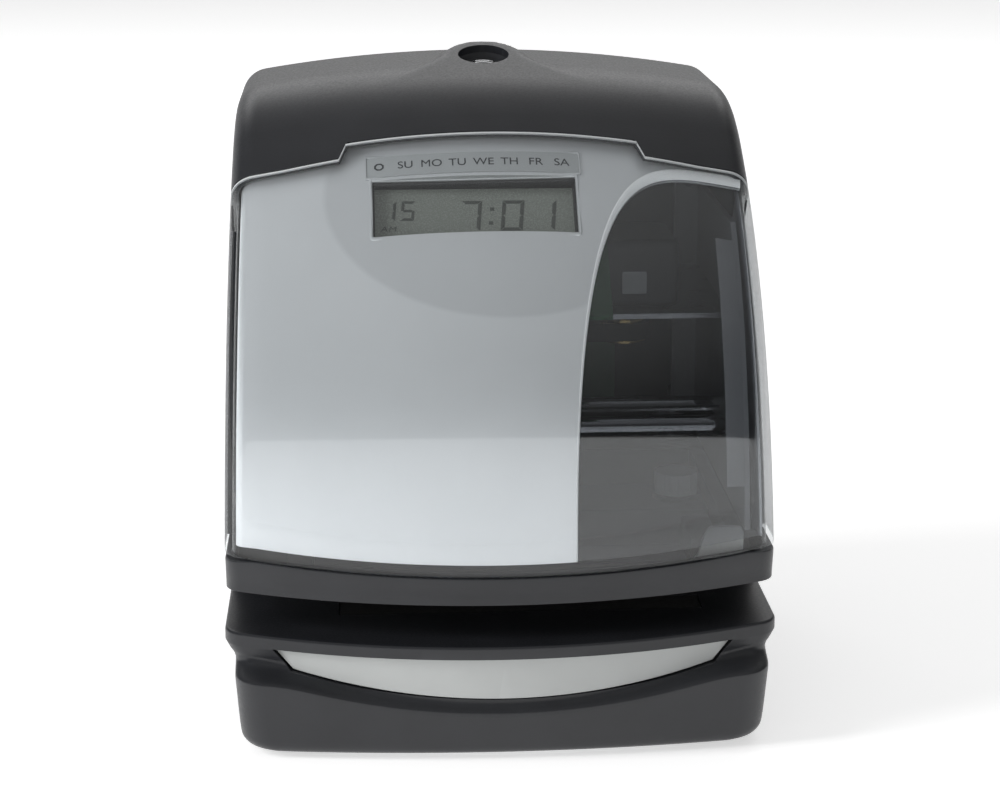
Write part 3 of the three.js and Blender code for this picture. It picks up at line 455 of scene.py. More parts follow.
def round_edges(obj, width, segments, angle, weight=50):
    """Rounds edges sharper than the angle, with normals that follow the larger faces."""
    bevel = obj.modifiers.new("edge", "BEVEL")
    bevel.width = width * 0.001
    bevel.segments = segments
    bevel.limit_method = "ANGLE"
    bevel.angle_limit = math.radians(angle)
    weighted = obj.modifiers.new("shading", "WEIGHTED_NORMAL")
    weighted.keep_sharp = True
    weighted.weight = weight


def soften(obj, width, segments, angle):
    shade(obj)
    round_edges(obj, width, segments, angle, weight=80)


def thicken(obj, wall, rim, segments):
    add_wall(obj, wall, even=True)
    soften(obj, rim, segments, 50)


def shade(obj):
    for polygon in obj.data.polygons:
        polygon.use_smooth = True


def bake_modifiers(obj):
    depsgraph = bpy.context.evaluated_depsgraph_get()
    mesh = bpy.data.meshes.new_from_object(obj.evaluated_get(depsgraph))
    obj.modifiers.clear()
    obj.data = mesh


def cut(obj, cutter, operation="DIFFERENCE"):
    boolean = obj.modifiers.new("cut", "BOOLEAN")
    boolean.operation = operation
    boolean.solver = "EXACT"
    boolean.object = cutter
    bake_modifiers(obj)
    bpy.data.objects.remove(cutter)


def join(target, *others):
    bm = bmesh.new()
    bm.from_mesh(target.data)
    for other in others:
        bm.from_mesh(other.data)
        bpy.data.objects.remove(other)
    bm.to_mesh(target.data)
    bm.free()


def paint(obj, material):
    obj.data.materials.clear()
    obj.data.materials.append(material)


def dress_node(name, material):
    obj = nodes[name]
    if obj.material_slots:
        for slot in obj.material_slots:
            slot.material = material
    else:
        obj.data.materials.append(material)
    round_edges(obj, 0.25, 2, 35)


def place_piece(obj, body, material, *replaced, slot=None):
    paint(obj, material)
    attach(obj, body)
    if replaced:
        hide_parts(*replaced)
    return obj


# ---- materials ----
NOISE_SPAN = (0.3, 0.7)
STREAK_STRETCH = (1, 1, 40)
GRAZING_SHADE = (0.03, 0.035, 0.045)
MIRROR_BASE = 0.04
MIRROR_RISE = 0.6


def feed(node, name, value):
    """Gives an input of a node a number, a tuple or the output of another node."""
    if isinstance(value, bpy.types.NodeSocket):
        node.id_data.links.new(value, node.inputs[name])
    else:
        node.inputs[name].default_value = value


def new_node(tree, kind, **values):
    """A shader node whose named inputs, underscores for spaces, are fed with the values."""
    node = tree.nodes.new("ShaderNode" + kind)
    for name, value in values.items():
        feed(node, name.replace("_", " "), value)
    return node


def start_material(name, color, roughness, metallic=0.0):
    material = bpy.data.materials.new(name)
    material.use_nodes = True
    tree = material.node_tree
    shader = tree.nodes["Principled BSDF"]
    feed(shader, "Base Color", (*color, 1))
    feed(shader, "Roughness", roughness)
    feed(shader, "Metallic", metallic)
    return material, tree, shader


def coordinates(tree, scale=(1, 1, 1)):
    place = new_node(tree, "TexCoord").outputs["Object"]
    return new_node(tree, "Mapping", Scale=scale, Vector=place).outputs["Vector"]


def noise(tree, vector, scale, detail, roughness=0.55):
    texture = new_node(tree, "TexNoise", Scale=scale, Detail=detail, Roughness=roughness, Vector=vector)
    return texture.outputs["Fac"]


def ramp(tree, value, low, high, start, end):
    """Maps start to low and end to high, held level outside."""
    node = new_node(tree, "MapRange", From_Min=start, From_Max=end, To_Min=low, To_Max=high, Value=value)
    return node.outputs["Result"]


def math_node(tree, operation, first, second=None):
    node = new_node(tree, "Math")
    node.operation = operation
    feed(node, 0, first)
    if second is not None:
        feed(node, 1, second)
    return node.outputs[0]


def blend_colors(tree, share, first, second):
    node = new_node(tree, "Mix", Factor=share)
    node.data_type = "RGBA"
    for number, value in ((6, first), (7, second)):
        feed(node, number, (*value, 1) if isinstance(value, tuple) else value)
    return node.outputs[2]


def blend_shaders(tree, share, first, second):
    node = new_node(tree, "MixShader")
    for number, value in enumerate((share, first, second)):
        feed(node, number, value)
    return node.outputs[0]


def bump(tree, height, strength, distance, *targets):
    """Fine relief from a height, felt by every target node."""
    node = new_node(tree, "Bump", Strength=strength, Distance=distance, Height=height)
    for target in targets:
        feed(target, "Normal", node.outputs["Normal"])


# Edges found by pointiness, lightened partly as rubbed wear and partly as a painted highlight.
def worn_and_lit_edges(tree):
    geometry = new_node(tree, "NewGeometry")
    return ramp(tree, geometry.outputs["Pointiness"], 0.0, 1.0, 0.53, 0.62)


def shades(color, spread):
    return [tuple(min(1.0, c * (1 + side * spread)) for c in color) for side in (-1, 1)]


def moulded(name, color, roughness, grain, strength, edge_wear_and_highlight=0.25, spread=0.12):
    """Moulded plastic: fine spark texture, faint mottling and lighter edges, partly rubbed wear and partly a
    painted highlight.
    """
    material, tree, shader = start_material(name, color, roughness)
    vector = coordinates(tree)
    mottle = ramp(tree, noise(tree, vector, 60.0, 3.0), 0.0, 1.0, *NOISE_SPAN)
    body = blend_colors(tree, mottle, *shades(color, spread))
    # Lighter colour for the edges: partly rubbed wear, partly a painted highlight.
    rubbed_and_lit = tuple(min(1.0, c * 1.5 + 0.02) for c in color)
    edge = ramp(tree, worn_and_lit_edges(tree), 0.0, edge_wear_and_highlight, 0.0, 1.0)
    feed(shader, "Base Color", blend_colors(tree, edge, body, rubbed_and_lit))
    grains = noise(tree, vector, grain, 2.0)
    polish = ramp(tree, grains, roughness - 0.06, roughness + 0.08, *NOISE_SPAN)
    feed(shader, "Roughness", polish)
    bump(tree, grains, strength, 0.0002, shader)
    return material


def smooth_plastic(name, color, roughness, spread=0.02, grain=900.0):
    """Even plastic or ink without the lighter edges of rubbed wear and painted highlight."""
    return moulded(name, color, roughness, grain=grain, strength=0.02, edge_wear_and_highlight=0.0, spread=spread)


def metal(name, color, roughness, strength=0.06, spread=0.08):
    """Plated or drawn metal with directional streaks and uneven polish."""
    material, tree, shader = start_material(name, color, roughness, 1.0)
    vector = coordinates(tree, STREAK_STRETCH)
    streaks = noise(tree, vector, 220.0, 5.0, 0.6)
    share = ramp(tree, streaks, 0.0, 1.0, *NOISE_SPAN)
    feed(shader, "Base Color", blend_colors(tree, share, *shades(color, spread)))
    low = max(0.04, roughness * 0.75)
    feed(shader, "Roughness", ramp(tree, streaks, low, roughness * 1.3, *NOISE_SPAN))
    bump(tree, streaks, strength, 0.0001, shader)
    return material


def distance_in_oval(tree, x, z, flatness):
    """Distance, seen from the front, from a point in millimetres, heights counted flatness times."""
    flat = new_node(tree, "VectorMath")
    flat.operation = "MULTIPLY"
    feed(flat, 0, new_node(tree, "TexCoord").outputs["Object"])
    feed(flat, 1, (1, 0, flatness))
    gap = new_node(tree, "VectorMath")
    gap.operation = "DISTANCE"
    feed(gap, 0, flat.outputs[0])
    feed(gap, 1, (x * 0.001, 0, z * 0.001 * flatness))
    return gap.outputs["Value"]


def silver_paint():
    """Silver lacquer: metal flakes under a satin clear coat."""
    material, tree, shader = start_material("silver_paint", (0.72, 0.74, 0.755), 0.38, 0.5)
    vector = coordinates(tree)
    flakes = new_node(tree, "TexVoronoi", Scale=4200.0, Vector=vector)
    sparkle = new_node(tree, "SeparateColor", Color=flakes.outputs["Color"])
    cloud = ramp(tree, noise(tree, vector, 45.0, 3.0), 0.0, 1.0, *NOISE_SPAN)
    body = blend_colors(tree, cloud, (0.76, 0.775, 0.79), (0.79, 0.805, 0.82))
    share = ramp(tree, sparkle.outputs["Red"], 0.0, 0.22, 0.0, 1.0)
    lacquer = blend_colors(tree, share, body, (0.9, 0.92, 0.94))
    # Painted shade: a darker oval on the upper face, standing in for a dark reflection in the cover.
    reach = distance_in_oval(tree, SHADE_X, SHADE_Z, SHADE_HALF_WIDTH / SHADE_HALF_HEIGHT)
    half = SHADE_HALF_WIDTH * 0.001
    shaded = ramp(tree, reach, 0.22, 0.0, half - 0.001, half + 0.001)
    feed(shader, "Base Color", blend_colors(tree, shaded, lacquer, (0.3, 0.315, 0.33)))
    feed(shader, "Roughness", ramp(tree, sparkle.outputs["Green"], 0.28, 0.44, 0.0, 1.0))
    feed(shader, "Coat Weight", 0.35)
    feed(shader, "Coat Roughness", 0.12)
    bump(tree, sparkle.outputs["Blue"], 0.04, 0.00005, shader)
    return material


def see_through(name, tint, roughness, haze=(0.0, 0.0, 0.0), haze_share=0.0):
    """A clear moulding: what is behind it shows through its tint, under a gloss skin; the tint turns dark at
    grazing edges as painted shade.
    """
    material = bpy.data.materials.new(name)
    material.use_nodes = True
    tree = material.node_tree
    tree.nodes.clear()
    vector = coordinates(tree)
    swirl = noise(tree, vector, 35.0, 3.0)
    polish = ramp(tree, swirl, roughness * 0.6, roughness * 1.6, *NOISE_SPAN)
    gloss = new_node(tree, "BsdfGlossy", Color=(1, 1, 1, 1), Roughness=polish)
    facing = new_node(tree, "LayerWeight", Blend=0.5)
    bump(tree, noise(tree, vector, 18.0, 1.0), 0.05, 0.0004, gloss, facing)
    # Painted shade: the see-through tint goes dark where the surface turns edge-on.
    edge = ramp(tree, facing.outputs["Facing"], 0.0, 0.92, 0.72, 0.98)
    clear = new_node(tree, "BsdfTransparent", Color=blend_colors(tree, edge, tint, GRAZING_SHADE))
    grazing = math_node(tree, "POWER", facing.outputs["Facing"], 5.0)
    mirror = math_node(tree, "ADD", math_node(tree, "MULTIPLY", grazing, MIRROR_RISE), MIRROR_BASE)
    surface = clear.outputs[0]
    if haze_share > 0:
        body = new_node(tree, "BsdfDiffuse", Color=(*haze, 1))
        surface = blend_shaders(tree, haze_share, surface, body.outputs[0])
    new_node(tree, "OutputMaterial", Surface=blend_shaders(tree, mirror, surface, gloss.outputs[0]))
    return material


def circuit_board():
    """Solder resist with faint copper tracks under it."""
    material, tree, shader = start_material("circuit_board", (0.02, 0.11, 0.05), 0.35)
    tracks = new_node(tree, "TexBrick", Scale=260.0, Mortar_Size=0.12, Vector=coordinates(tree))
    feed(tracks, "Color1", (0.015, 0.09, 0.045, 1))
    feed(tracks, "Color2", (0.02, 0.12, 0.055, 1))
    feed(tracks, "Mortar", (0.05, 0.2, 0.08, 1))
    feed(shader, "Base Color", tracks.outputs["Color"])
    bump(tree, tracks.outputs["Fac"], 0.15, 0.0001, shader)
    return material


def woven_ribbon():
    material, tree, shader = start_material("ribbon_fabric", (0.02, 0.016, 0.035), 0.75)
    weave = new_node(tree, "TexWave", Scale=900.0, Distortion=0.4, Vector=coordinates(tree)).outputs["Fac"]
    feed(shader, "Base Color", blend_colors(tree, weave, (0.012, 0.01, 0.022), (0.035, 0.03, 0.06)))
    bump(tree, weave, 0.3, 0.0001, shader)
    feed(shader, "Sheen Weight", 0.2)
    return material


def screen_glass():
    material, tree, shader = start_material("lcd_glass", (0.17, 0.182, 0.162), 0.22)
    cells = noise(tree, coordinates(tree), 2500.0, 2.0)
    share = ramp(tree, cells, 0.0, 1.0, 0.35, 0.65)
    feed(shader, "Base Color", blend_colors(tree, share, (0.17, 0.184, 0.163), (0.19, 0.205, 0.183)))
    feed(shader, "Roughness", ramp(tree, cells, 0.2, 0.32, *NOISE_SPAN))
    bump(tree, cells, 0.02, 0.00005, shader)
    return material


BLACK = moulded("black_plastic", (0.017, 0.018, 0.021), 0.36, grain=1500.0, strength=0.1)
RESIN = moulded("dark_resin", (0.016, 0.016, 0.018), 0.42, grain=1300.0, strength=0.12)
BATTERY = moulded("battery_wrap", (0.04, 0.12, 0.28), 0.3, grain=500.0, strength=0.05)
RUBBER = moulded("rubber", (0.014, 0.014, 0.014), 0.75, grain=700.0, strength=0.25, edge_wear_and_highlight=0.35)
BAR = moulded("bar_plastic", (0.46, 0.475, 0.47), 0.42, grain=1800.0, strength=0.06, edge_wear_and_highlight=0.1, spread=0.03)
PALE = moulded("pale_resin", (0.52, 0.535, 0.525), 0.42, grain=1300.0, strength=0.06, edge_wear_and_highlight=0.05, spread=0.04)
FRAME_PAINT = moulded(
    "frame_paint", (0.66, 0.67, 0.67), 0.4, grain=1500.0, strength=0.05, edge_wear_and_highlight=0.1, spread=0.05
)
COVER_EDGE_HIGHLIGHT = smooth_plastic("cover_edge_highlight", (0.6, 0.62, 0.63), 0.15)
BEZEL_HIGHLIGHT = smooth_plastic("bezel_highlight", (0.9, 0.915, 0.925), 0.3, grain=1600.0)
LABEL_FILM = smooth_plastic("label_film", (0.38, 0.395, 0.4), 0.4)
PRINT_INK = smooth_plastic("print_ink", (0.03, 0.032, 0.036), 0.5, spread=0.12)
SEGMENT_INK = smooth_plastic("segment_ink", (0.055, 0.06, 0.054), 0.5, spread=0.12)
CLEAR = see_through("clear_plastic", (0.955, 0.965, 0.97), 0.035)
SMOKED = see_through("smoked_plastic", (0.74, 0.745, 0.76), 0.03, (0.02, 0.021, 0.023), 0.1)
STEEL = metal("sheet_steel", (0.5, 0.51, 0.52), 0.32)
CHROME = metal("chrome", (0.78, 0.785, 0.79), 0.1, strength=0.02, spread=0.03)
BRASS = metal("brass", (0.62, 0.46, 0.2), 0.24)
SILVER = silver_paint()
BOARD = circuit_board()
RIBBON = woven_ribbon()
SCREEN = screen_glass()


# ---- hood ----
def hood_column(place):
    """Points from the cover's edge over the brow and the roof to the back."""
    top = cover_top(place) + GAP
    low = steps(top, BROW_Z, 4)[:-1] if top < BROW_Z else [top] * 4
    stations = [face_station(z) for z in low]
    stations += [brow_station(lean) for lean in steps(BROW_LEAN, math.pi / 2, 30)]
    stations += [roof_station(y) for y in steps(BROW_ARC[0], BACK_Y, 26)[1:]]
    column = [head_point(station, place, 0) for station in stations]
    for point in column:
        point.z += boss_rise(point.x, point.y)
    return column


def hood_side(hand):
    """Edge of a side wall: back along the shoulder, down behind the cover, then to the rear."""
    behind = (hand, 1, COVER_SIDE + GAP)
    shoulder = cover_top(behind)
    foot = station_through(CASE_BOTTOM, behind, 0)[1]
    sides = steps(0, COVER_SIDE + GAP, 4)[1:]
    outline = [head_point(face_station(shoulder), (hand, 1, side), 0) for side in sides]
    outline += [head_point(face_station(z), behind, 0) for z in steps(shoulder, foot, 24)[1:]]
    return outline + [Vector((hand * HEAD_HALF_WIDTH * taper(CASE_BOTTOM), BACK_Y, CASE_BOTTOM))]


def hood():
    columns = [hood_column(place) for place in places_across(steps(-1, 1, 112))]
    points, faces = skin(columns)
    rows = len(columns[0])
    for hand, start in ((-1, 0), (1, len(points) - rows)):
        outline = hood_side(hand)
        loop = list(range(start + rows - 1, start - 1, -1))
        loop += range(len(points), len(points) + len(outline))
        points += outline
        faces.append(tuple(loop[::hand]))
    obj = object_from("hood_shell", points, faces)
    recalculate(obj, 0.00001)
    face_outwards(obj, Vector((0, -0.3, 1)))
    add_wall(obj, CASE_WALL)
    bake_modifiers(obj)
    cut(obj, lock_cylinder("bore_cutter", -20, 8, LOCK_BORE))
    soften(obj, 0.4, 3, 38)
    bake_modifiers(obj)
    join(obj, lock_ring("socket", SOCKET_LOW, SOCKET_HIGH, LOCK_BORE, SOCKET_RADIUS))
    shade(obj)
    place_piece(obj, "case", BLACK, "hood", slot="black_plastic")


def on_lock_axis(obj):
    matrix = Matrix.Translation(metres((0, LOCK_Y, LOCK_Z))) @ Matrix.Rotation(LOCK_LEAN, 4, "X")
    obj.data.transform(matrix)
    return obj


def lock_cylinder(name, low, high, radius):
    circle = [(radius * math.cos(a), radius * math.sin(a)) for a in steps(0, 2 * math.pi, LOCK_SIDES)[:-1]]
    return on_lock_axis(prism(name, circle, low, high, "z"))


def lock_ring(name, low, high, inner, outer):
    profile = [(inner, low), (outer, low), (outer, high), (inner, high)]
    return on_lock_axis(band(name, turned(profile, LOCK_SIDES)))


# ---- cover and face ----
def cover_column(place):
    """Closed section of the cover, up its outside and back down its inside."""
    low = station_through(cover_bottom(place), place, 0)[1]
    top = cover_top(place)
    heights = [low, low + 0.15, low + COVER_FOOT_RUN] + steps(low + 1.5, top - COVER_TAPER, 52)
    heights += steps(top - COVER_TAPER, top - COVER_RIM, 6)[1:] + [top]
    outer = []
    inner = []
    for z in heights:
        station = face_station(z)
        wall = mix(COVER_EDGE, COVER_WALL, ease((top - z) / COVER_TAPER))
        tuck = COVER_FOOT_ROUND * (1 - clamp01((z - low) / COVER_FOOT_RUN)) ** 2
        outer.append(head_point(station, place, tuck))
        inner.append(head_point(station, place, wall - tuck))
    return outer + inner[::-1]


def clear_cover():
    station = face_station(TAB_TOP)
    tab = place_at_x(TAB_HALF_WIDTH, station)[0]
    step = place_at_x(TAB_HALF_WIDTH + TAB_STEP, station)[0]
    shares = steps(-1, -step, 16) + steps(-step, -tab, 4)[1:-1] + steps(-tab, tab, 56)
    shares += steps(tab, step, 4)[1:-1] + steps(step, 1, 16)
    columns = [cover_column(place) for place in places_across(shares, steps(0, COVER_SIDE, 4)[1:])]
    obj = closed_stack("cover_shell", columns)
    shade(obj)
    creases = obj.modifiers.new("creases", "EDGE_SPLIT")
    creases.split_angle = math.radians(35)
    place_piece(obj, "case", CLEAR, "clear_cover", slot="clear_plastic")
    # The faces along the cover's top edge get an opaque pale colour: a painted highlight where the clear
    # edge catches light.
    obj.data.materials.append(COVER_EDGE_HIGHLIGHT)
    # The two end faces come first, then each section's faces, its top edge half way.
    count = len(columns[0])
    rim = range(count // 2 - 2, count // 2 + 1)
    for number, polygon in enumerate(obj.data.polygons[2:]):
        polygon.material_index = 1 if number % count in rim else 0


LEFT_COLUMNS = 20
SCREEN_COLUMNS = 34
RIGHT_COLUMNS = 22
# Below this height the columns that meet the display's edges spread out to these shares.
SPREAD_HEIGHT = 100.0
SPREAD_SHARES = (0.32, 0.84)


def panel_columns(z):
    """x of each column of the silver panel at one height, with the screen's edges on columns."""
    left = -panel_edge(z)
    right = bezel_left(z) if z < WINDOW_TOP + BEZEL_TOP else lens_edge(z)
    gathered = ease((z - SPREAD_HEIGHT) / (LCD_LOW - SPREAD_HEIGHT))
    marks = [mix(mix(left, right, s), x, gathered) for s, x in zip(SPREAD_SHARES, (LCD_LEFT, LCD_RIGHT))]
    columns = steps(left, marks[0], LEFT_COLUMNS)
    columns += steps(marks[0], marks[1], SCREEN_COLUMNS)[1:]
    return columns + steps(marks[1], right, RIGHT_COLUMNS)[1:]


def panel_heights():
    heights = steps(FACE_FOOT, LCD_LOW - 3, 46) + steps(LCD_LOW - 3, LCD_LOW, 3)[1:]
    heights += steps(LCD_LOW, LCD_HIGH, 12)[1:]
    top = WINDOW_TOP + BEZEL_TOP
    heights += [top - (top - LCD_HIGH) * (1 - i / 12) ** 2 for i in range(1, 13)]
    return heights + steps(top, PANEL_TOP, 8)[1:]


def display_panel():
    heights = panel_heights()
    wrap = [(-1, 1, side) for side in steps(PANEL_SIDE, 0, 3)]
    wrap += [(-1, corner, 0) for corner in steps(1, 0.25, 9)[1:]]
    rows = []
    for z in heights:
        height = above_cover_foot(-panel_edge(z), z, PANEL_DEPTH)
        row = [head_point(face_station(height), place, PANEL_DEPTH) for place in wrap]
        for x in panel_columns(z)[1:]:
            height = above_cover_foot(x, z, PANEL_DEPTH)
            row.append(on_face(x, height, PANEL_DEPTH))
        rows.append(row)
    first = heights.index(LCD_LOW)
    last = heights.index(LCD_HIGH)
    left = len(wrap) + LEFT_COLUMNS - 1

    def kept(i, j):
        return not (first <= i < last and left <= j < left + SCREEN_COLUMNS)

    obj = sheet("face_panel", rows, (0, -1, 0.5), kept)
    thicken(obj, PANEL_WALL, 0.3, 3)
    bake_modifiers(obj)
    join(obj, screen_rim("screen_surround", SCREEN_RIM), right_return())
    shade(obj)
    place_piece(obj, "case", SILVER, "display_panel", slot="silver_paint")
    shaded_screen_tunnel()
    window_bezel()


def right_return():
    """The panel's edge beyond the smoked window, turned back inside the cover's corner."""
    rows = []
    places = [(1, corner, 0) for corner in steps(0.62, 1, 6)]
    places += [(1, 1, side) for side in steps(0, PANEL_SIDE, 3)[1:]]
    for z in steps(FACE_FOOT, RETURN_TOP, 60):
        station = face_station(above_cover_foot(panel_edge(z), z, PANEL_DEPTH))
        rows.append([head_point(station, place, PANEL_DEPTH) for place in places])
    obj = sheet("right_return", rows, (1, -0.5, 0))
    add_wall(obj, RETURN_WALL)
    bake_modifiers(obj)
    return obj


def window_bezel():
    """The sloping rim of the panel round the smoked window, thicker along the top."""
    rows = []
    for below in steps(1, 0, 160):
        share = 1 - below ** WINDOW_CURVE[0]
        outer = window_edge(share, WINDOW_LEFT - BEZEL_SIDE, WINDOW_TOP + BEZEL_TOP)
        inner = window_edge(share, WINDOW_LEFT, WINDOW_TOP)
        row = []
        for across, depth in BEZEL_PROFILE:
            x = mix(outer[0], inner[0], across)
            z = mix(outer[1], inner[1], across)
            row.append(on_face(x, above_cover_foot(x, z, PANEL_DEPTH), depth))
        rows.append(row)
    rows += [
        [on_face(mix(WINDOW_RIGHT, lens_edge(top), share), top, depth) for top, depth in BEZEL_END]
        for share in steps(0, 1, 4)[1:]
    ]
    obj = sheet("window_bezel", rows, (0, -1, 0.2))
    add_wall(obj, BEZEL_WALL)
    bake_modifiers(obj)
    shade(obj)
    # The rim is the panel's silver paint; its paler, flatter colour is a painted highlight of light from
    # below.
    place_piece(obj, "case", BEZEL_HIGHLIGHT, slot="silver_paint")


def rounded_loop(left, right, low, high, radius):
    """Points (x, z) round a rectangle with rounded corners, counter-clockwise."""
    corners = [(right, low, -90), (right, high, 0), (left, high, 90), (left, low, 180)]
    loop = []
    for x, z, start in corners:
        cx = x - radius if x == right else x + radius
        cz = z + radius if z == low else z - radius
        for turn in steps(start, start + 90, 6):
            angle = math.radians(turn)
            loop.append((cx + radius * math.cos(angle), cz + radius * math.sin(angle)))
    return loop


def face_rim(name, edges, profile, radius):
    """Closed rim round a rectangle on the face; radius(growth) rounds its corners."""
    left, right, low, high = edges
    rings = []
    for grow, depth in profile:
        flat = rounded_loop(left - grow, right + grow, low - grow, high + grow, radius(grow))
        rings.append([on_face(x, z, depth) for x, z in flat])
    return band(name, rings)


def screen_rim(name, profile):
    edges = (LCD_LEFT, LCD_RIGHT, LCD_LOW, LCD_HIGH)
    return face_rim(name, edges, profile, lambda grow: 0.25 + max(0.0, grow))


def shaded_screen_tunnel():
    """The tunnel that runs from the display opening back to the glass, its dark colour painted shade."""
    obj = screen_rim("shaded_screen_tunnel", SCREEN_SHROUD)
    shade(obj)
    # Painted shade: the tunnel's walls are coloured dark where the recess is in shadow.
    place_piece(obj, "case", RESIN, slot="dark_resin")


def window_lens():
    rows = []
    for below in steps(1, 0, 96):
        z = mix(FACE_FOOT, WINDOW_TOP - 0.05, 1 - below ** 2)
        columns = steps(window_left(z) + LENS_GAP, lens_edge(z), 30)
        rows.append([on_face(x, above_cover_foot(x, z, PANEL_DEPTH), LENS_DEPTH) for x in columns])
    obj = sheet("smoked_window", rows, (0, -1, 0.5))
    thicken(obj, 1.0, 0.2, 2)
    place_piece(obj, "case", SMOKED, "window_lens", slot="smoked_plastic")


# ---- printing on the face ----
def text_mesh(name, words, size, spacing=1.0):
    curve = bpy.data.curves.new(name, "FONT")
    curve.body = words
    curve.size = size
    curve.space_character = spacing
    curve.align_x = "CENTER"
    curve.align_y = "CENTER"
    curve.resolution_u = 6
    curve.extrude = 0.02
    source = bpy.data.objects.new(name + "_curve", curve)
    bpy.context.scene.collection.objects.link(source)
    mesh = bpy.data.meshes.new_from_object(source.evaluated_get(bpy.context.evaluated_depsgraph_get()))
    bpy.data.objects.remove(source)
    obj = bpy.data.objects.new(name, mesh)
    bpy.context.scene.collection.objects.link(obj)
    return obj


def wrap_on_face(obj, middle_x, middle_z, depth):
    """Bends a flat drawing (x right, y up, z out, in millimetres) onto the face."""
    up = math.cos(face_station(middle_z)[2])
    for vertex in obj.data.vertices:
        x, y, z = vertex.co
        point = on_face(middle_x + x, middle_z + y * up, depth - z)
        vertex.co = metres(point)


def weekday_label():
    rows = []
    for z in steps(LABEL_LOW, LABEL_HIGH, 4):
        rows.append([on_face(x, z, PANEL_DEPTH - 0.25) for x in steps(LABEL_LEFT, LABEL_RIGHT, 40)])
    film = sheet("weekday_film", rows, (0, -1, 0.5))
    thicken(film, 0.3, 0.05, 1)
    place_piece(film, "case", LABEL_FILM, "weekday_label", slot="label_film")

    edges = (LABEL_LEFT, LABEL_RIGHT, LABEL_LOW, LABEL_HIGH)
    rim = face_rim("label_frame", edges, LABEL_RIM, lambda grow: 0.3)
    shade(rim)
    place_piece(rim, "case", SILVER, slot="silver_paint")


def print_on_label(obj, x):
    wrap_on_face(obj, LABEL_LEFT + x, (LABEL_LOW + LABEL_HIGH) / 2, PANEL_DEPTH - 0.28)
    place_piece(obj, "case", PRINT_INK, slot="label_film")


def label_printing():
    for number, day in enumerate(DAYS):
        print_on_label(text_mesh(f"day_{number + 1}", day, DAY_SIZE), DAY_FIRST + DAY_PITCH * number)
    sections = turned(DAY_MARK_PROFILE, 8, math.pi / 8)
    print_on_label(band("day_mark", sections, scale=1), DAY_MARK)


# ---- figures on the display ----
SEGMENTS = {"0": "abcdef", "1": "bc", "5": "acdfg", "7": "abc"}
SLANT = 0.1
# Figures as (figure, left, low, width, height, stroke) from the display's middle.
FIGURES = [
    ("1", -26.6, -1.7, 3.9, 6.9, 0.85),
    ("5", -21.2, -1.7, 3.9, 6.9, 0.85),
    ("7", -4.6, -5.6, 6.0, 10.7, 1.1),
    ("0", 7.2, -5.6, 6.3, 10.7, 1.1),
    ("1", 16.4, -5.6, 6.3, 10.7, 1.1),
]
COLON_LEFT = 4.7
COLON_LEVELS = (-2.8, 2.1)
COLON_HALF = 0.6


def on_screen(u, v, out):
    """Point u right of and v above the display's middle, out millimetres before its glass."""
    middle = face_station(SCREEN_Z)
    reach = SCREEN_DEPTH - out
    y = middle[0] + reach * math.cos(SCREEN_LEAN) + v * math.sin(SCREEN_LEAN)
    z = middle[1] - reach * math.sin(SCREEN_LEAN) + v * math.cos(SCREEN_LEAN)
    return Vector((SCREEN_X + u, y, z))


def digit_segments(figure, left, low, width, height, stroke):
    """Mitred bars of one seven-segment figure as lists of (u, v)."""
    half = height / 2
    near = 0.12 * stroke
    far = stroke + near
    top = [(near, height), (width - near, height), (width - far, height - stroke), (far, height - stroke)]
    right = [
        (width, height - near),
        (width, half + near),
        (width - stroke / 2, half + 0.02 * stroke),
        (width - stroke, half + near + stroke / 2),
        (width - stroke, height - far),
    ]
    inset = stroke * 0.6
    middle = [(inset, half), (far, half + stroke / 2), (width - far, half + stroke / 2)]
    middle += [(width - u, height - v) for u, v in middle]
    left_side = [(width - u, v) for u, v in reversed(right)]

    def below(bar):
        return [(u, height - v) for u, v in reversed(bar)]

    bars = {"a": top, "b": right, "c": below(right), "d": below(top)}
    bars.update({"e": below(left_side), "f": left_side, "g": middle})
    return [[(left + u + SLANT * v, low + v) for u, v in bars[name]] for name in SEGMENTS[figure]]


def screen_figures():
    outlines = [outline for figure in FIGURES for outline in digit_segments(*figure)]
    for v in COLON_LEVELS:
        u = COLON_LEFT + SLANT * (v + 2)
        corners = [(-1, -1), (1, -1), (1, 1), (-1, 1)]
        outlines.append([(u + COLON_HALF * across, v + COLON_HALF * up) for across, up in corners])
    bars = []
    for outline in outlines:
        rows = [[on_screen(u, v, out) for u, v in outline] for out in (0.0, 0.06)]
        bars.append(closed_stack("screen_figures", rows))
    join(*bars)
    place_piece(bars[0], "base", SEGMENT_INK, slot="lcd_glass")
    letters = text_mesh("screen_letters", "AM", 3.0, 1.15)
    for vertex in letters.data.vertices:
        u, v, out = vertex.co
        vertex.co = metres(on_screen(-24.4 + u + 0.15 * v, -4.7 + v * 0.85, 0.04 + out))
    place_piece(letters, "base", SEGMENT_INK, slot="lcd_glass")


# ---- lower body ----
def plan_outline(front_y, half_width, bow, corner, back_y, front_steps=72, corner_steps=14):
    """Plan points of a bowed front with rounded corners, straight sides and a flat back."""
    turn = math.asin((half_width - corner) / (bow - corner))
    centre_y = front_y + bow - (bow - corner) * math.cos(turn)
    half = [
        (bow * math.sin(a), front_y + bow * (1 - math.cos(a))) for a in steps(0, turn, front_steps // 2)
    ]
    for angle in steps(turn, math.pi / 2, corner_steps)[1:]:
        x = half_width - corner + corner * math.sin(angle)
        half.append((x, centre_y - corner * math.cos(angle)))
    start = half[-1][1]
    half += [(half_width, y) for y in steps(start, back_y - BACK_CORNER, 12)[1:-1]]
    for angle in steps(0, math.pi / 2, 6):
        x = half_width - BACK_CORNER + BACK_CORNER * math.cos(angle)
        half.append((x, back_y - BACK_CORNER + BACK_CORNER * math.sin(angle)))
    mirrored = [(-x, y) for x, y in reversed(half[1:])]
    return mirrored + half


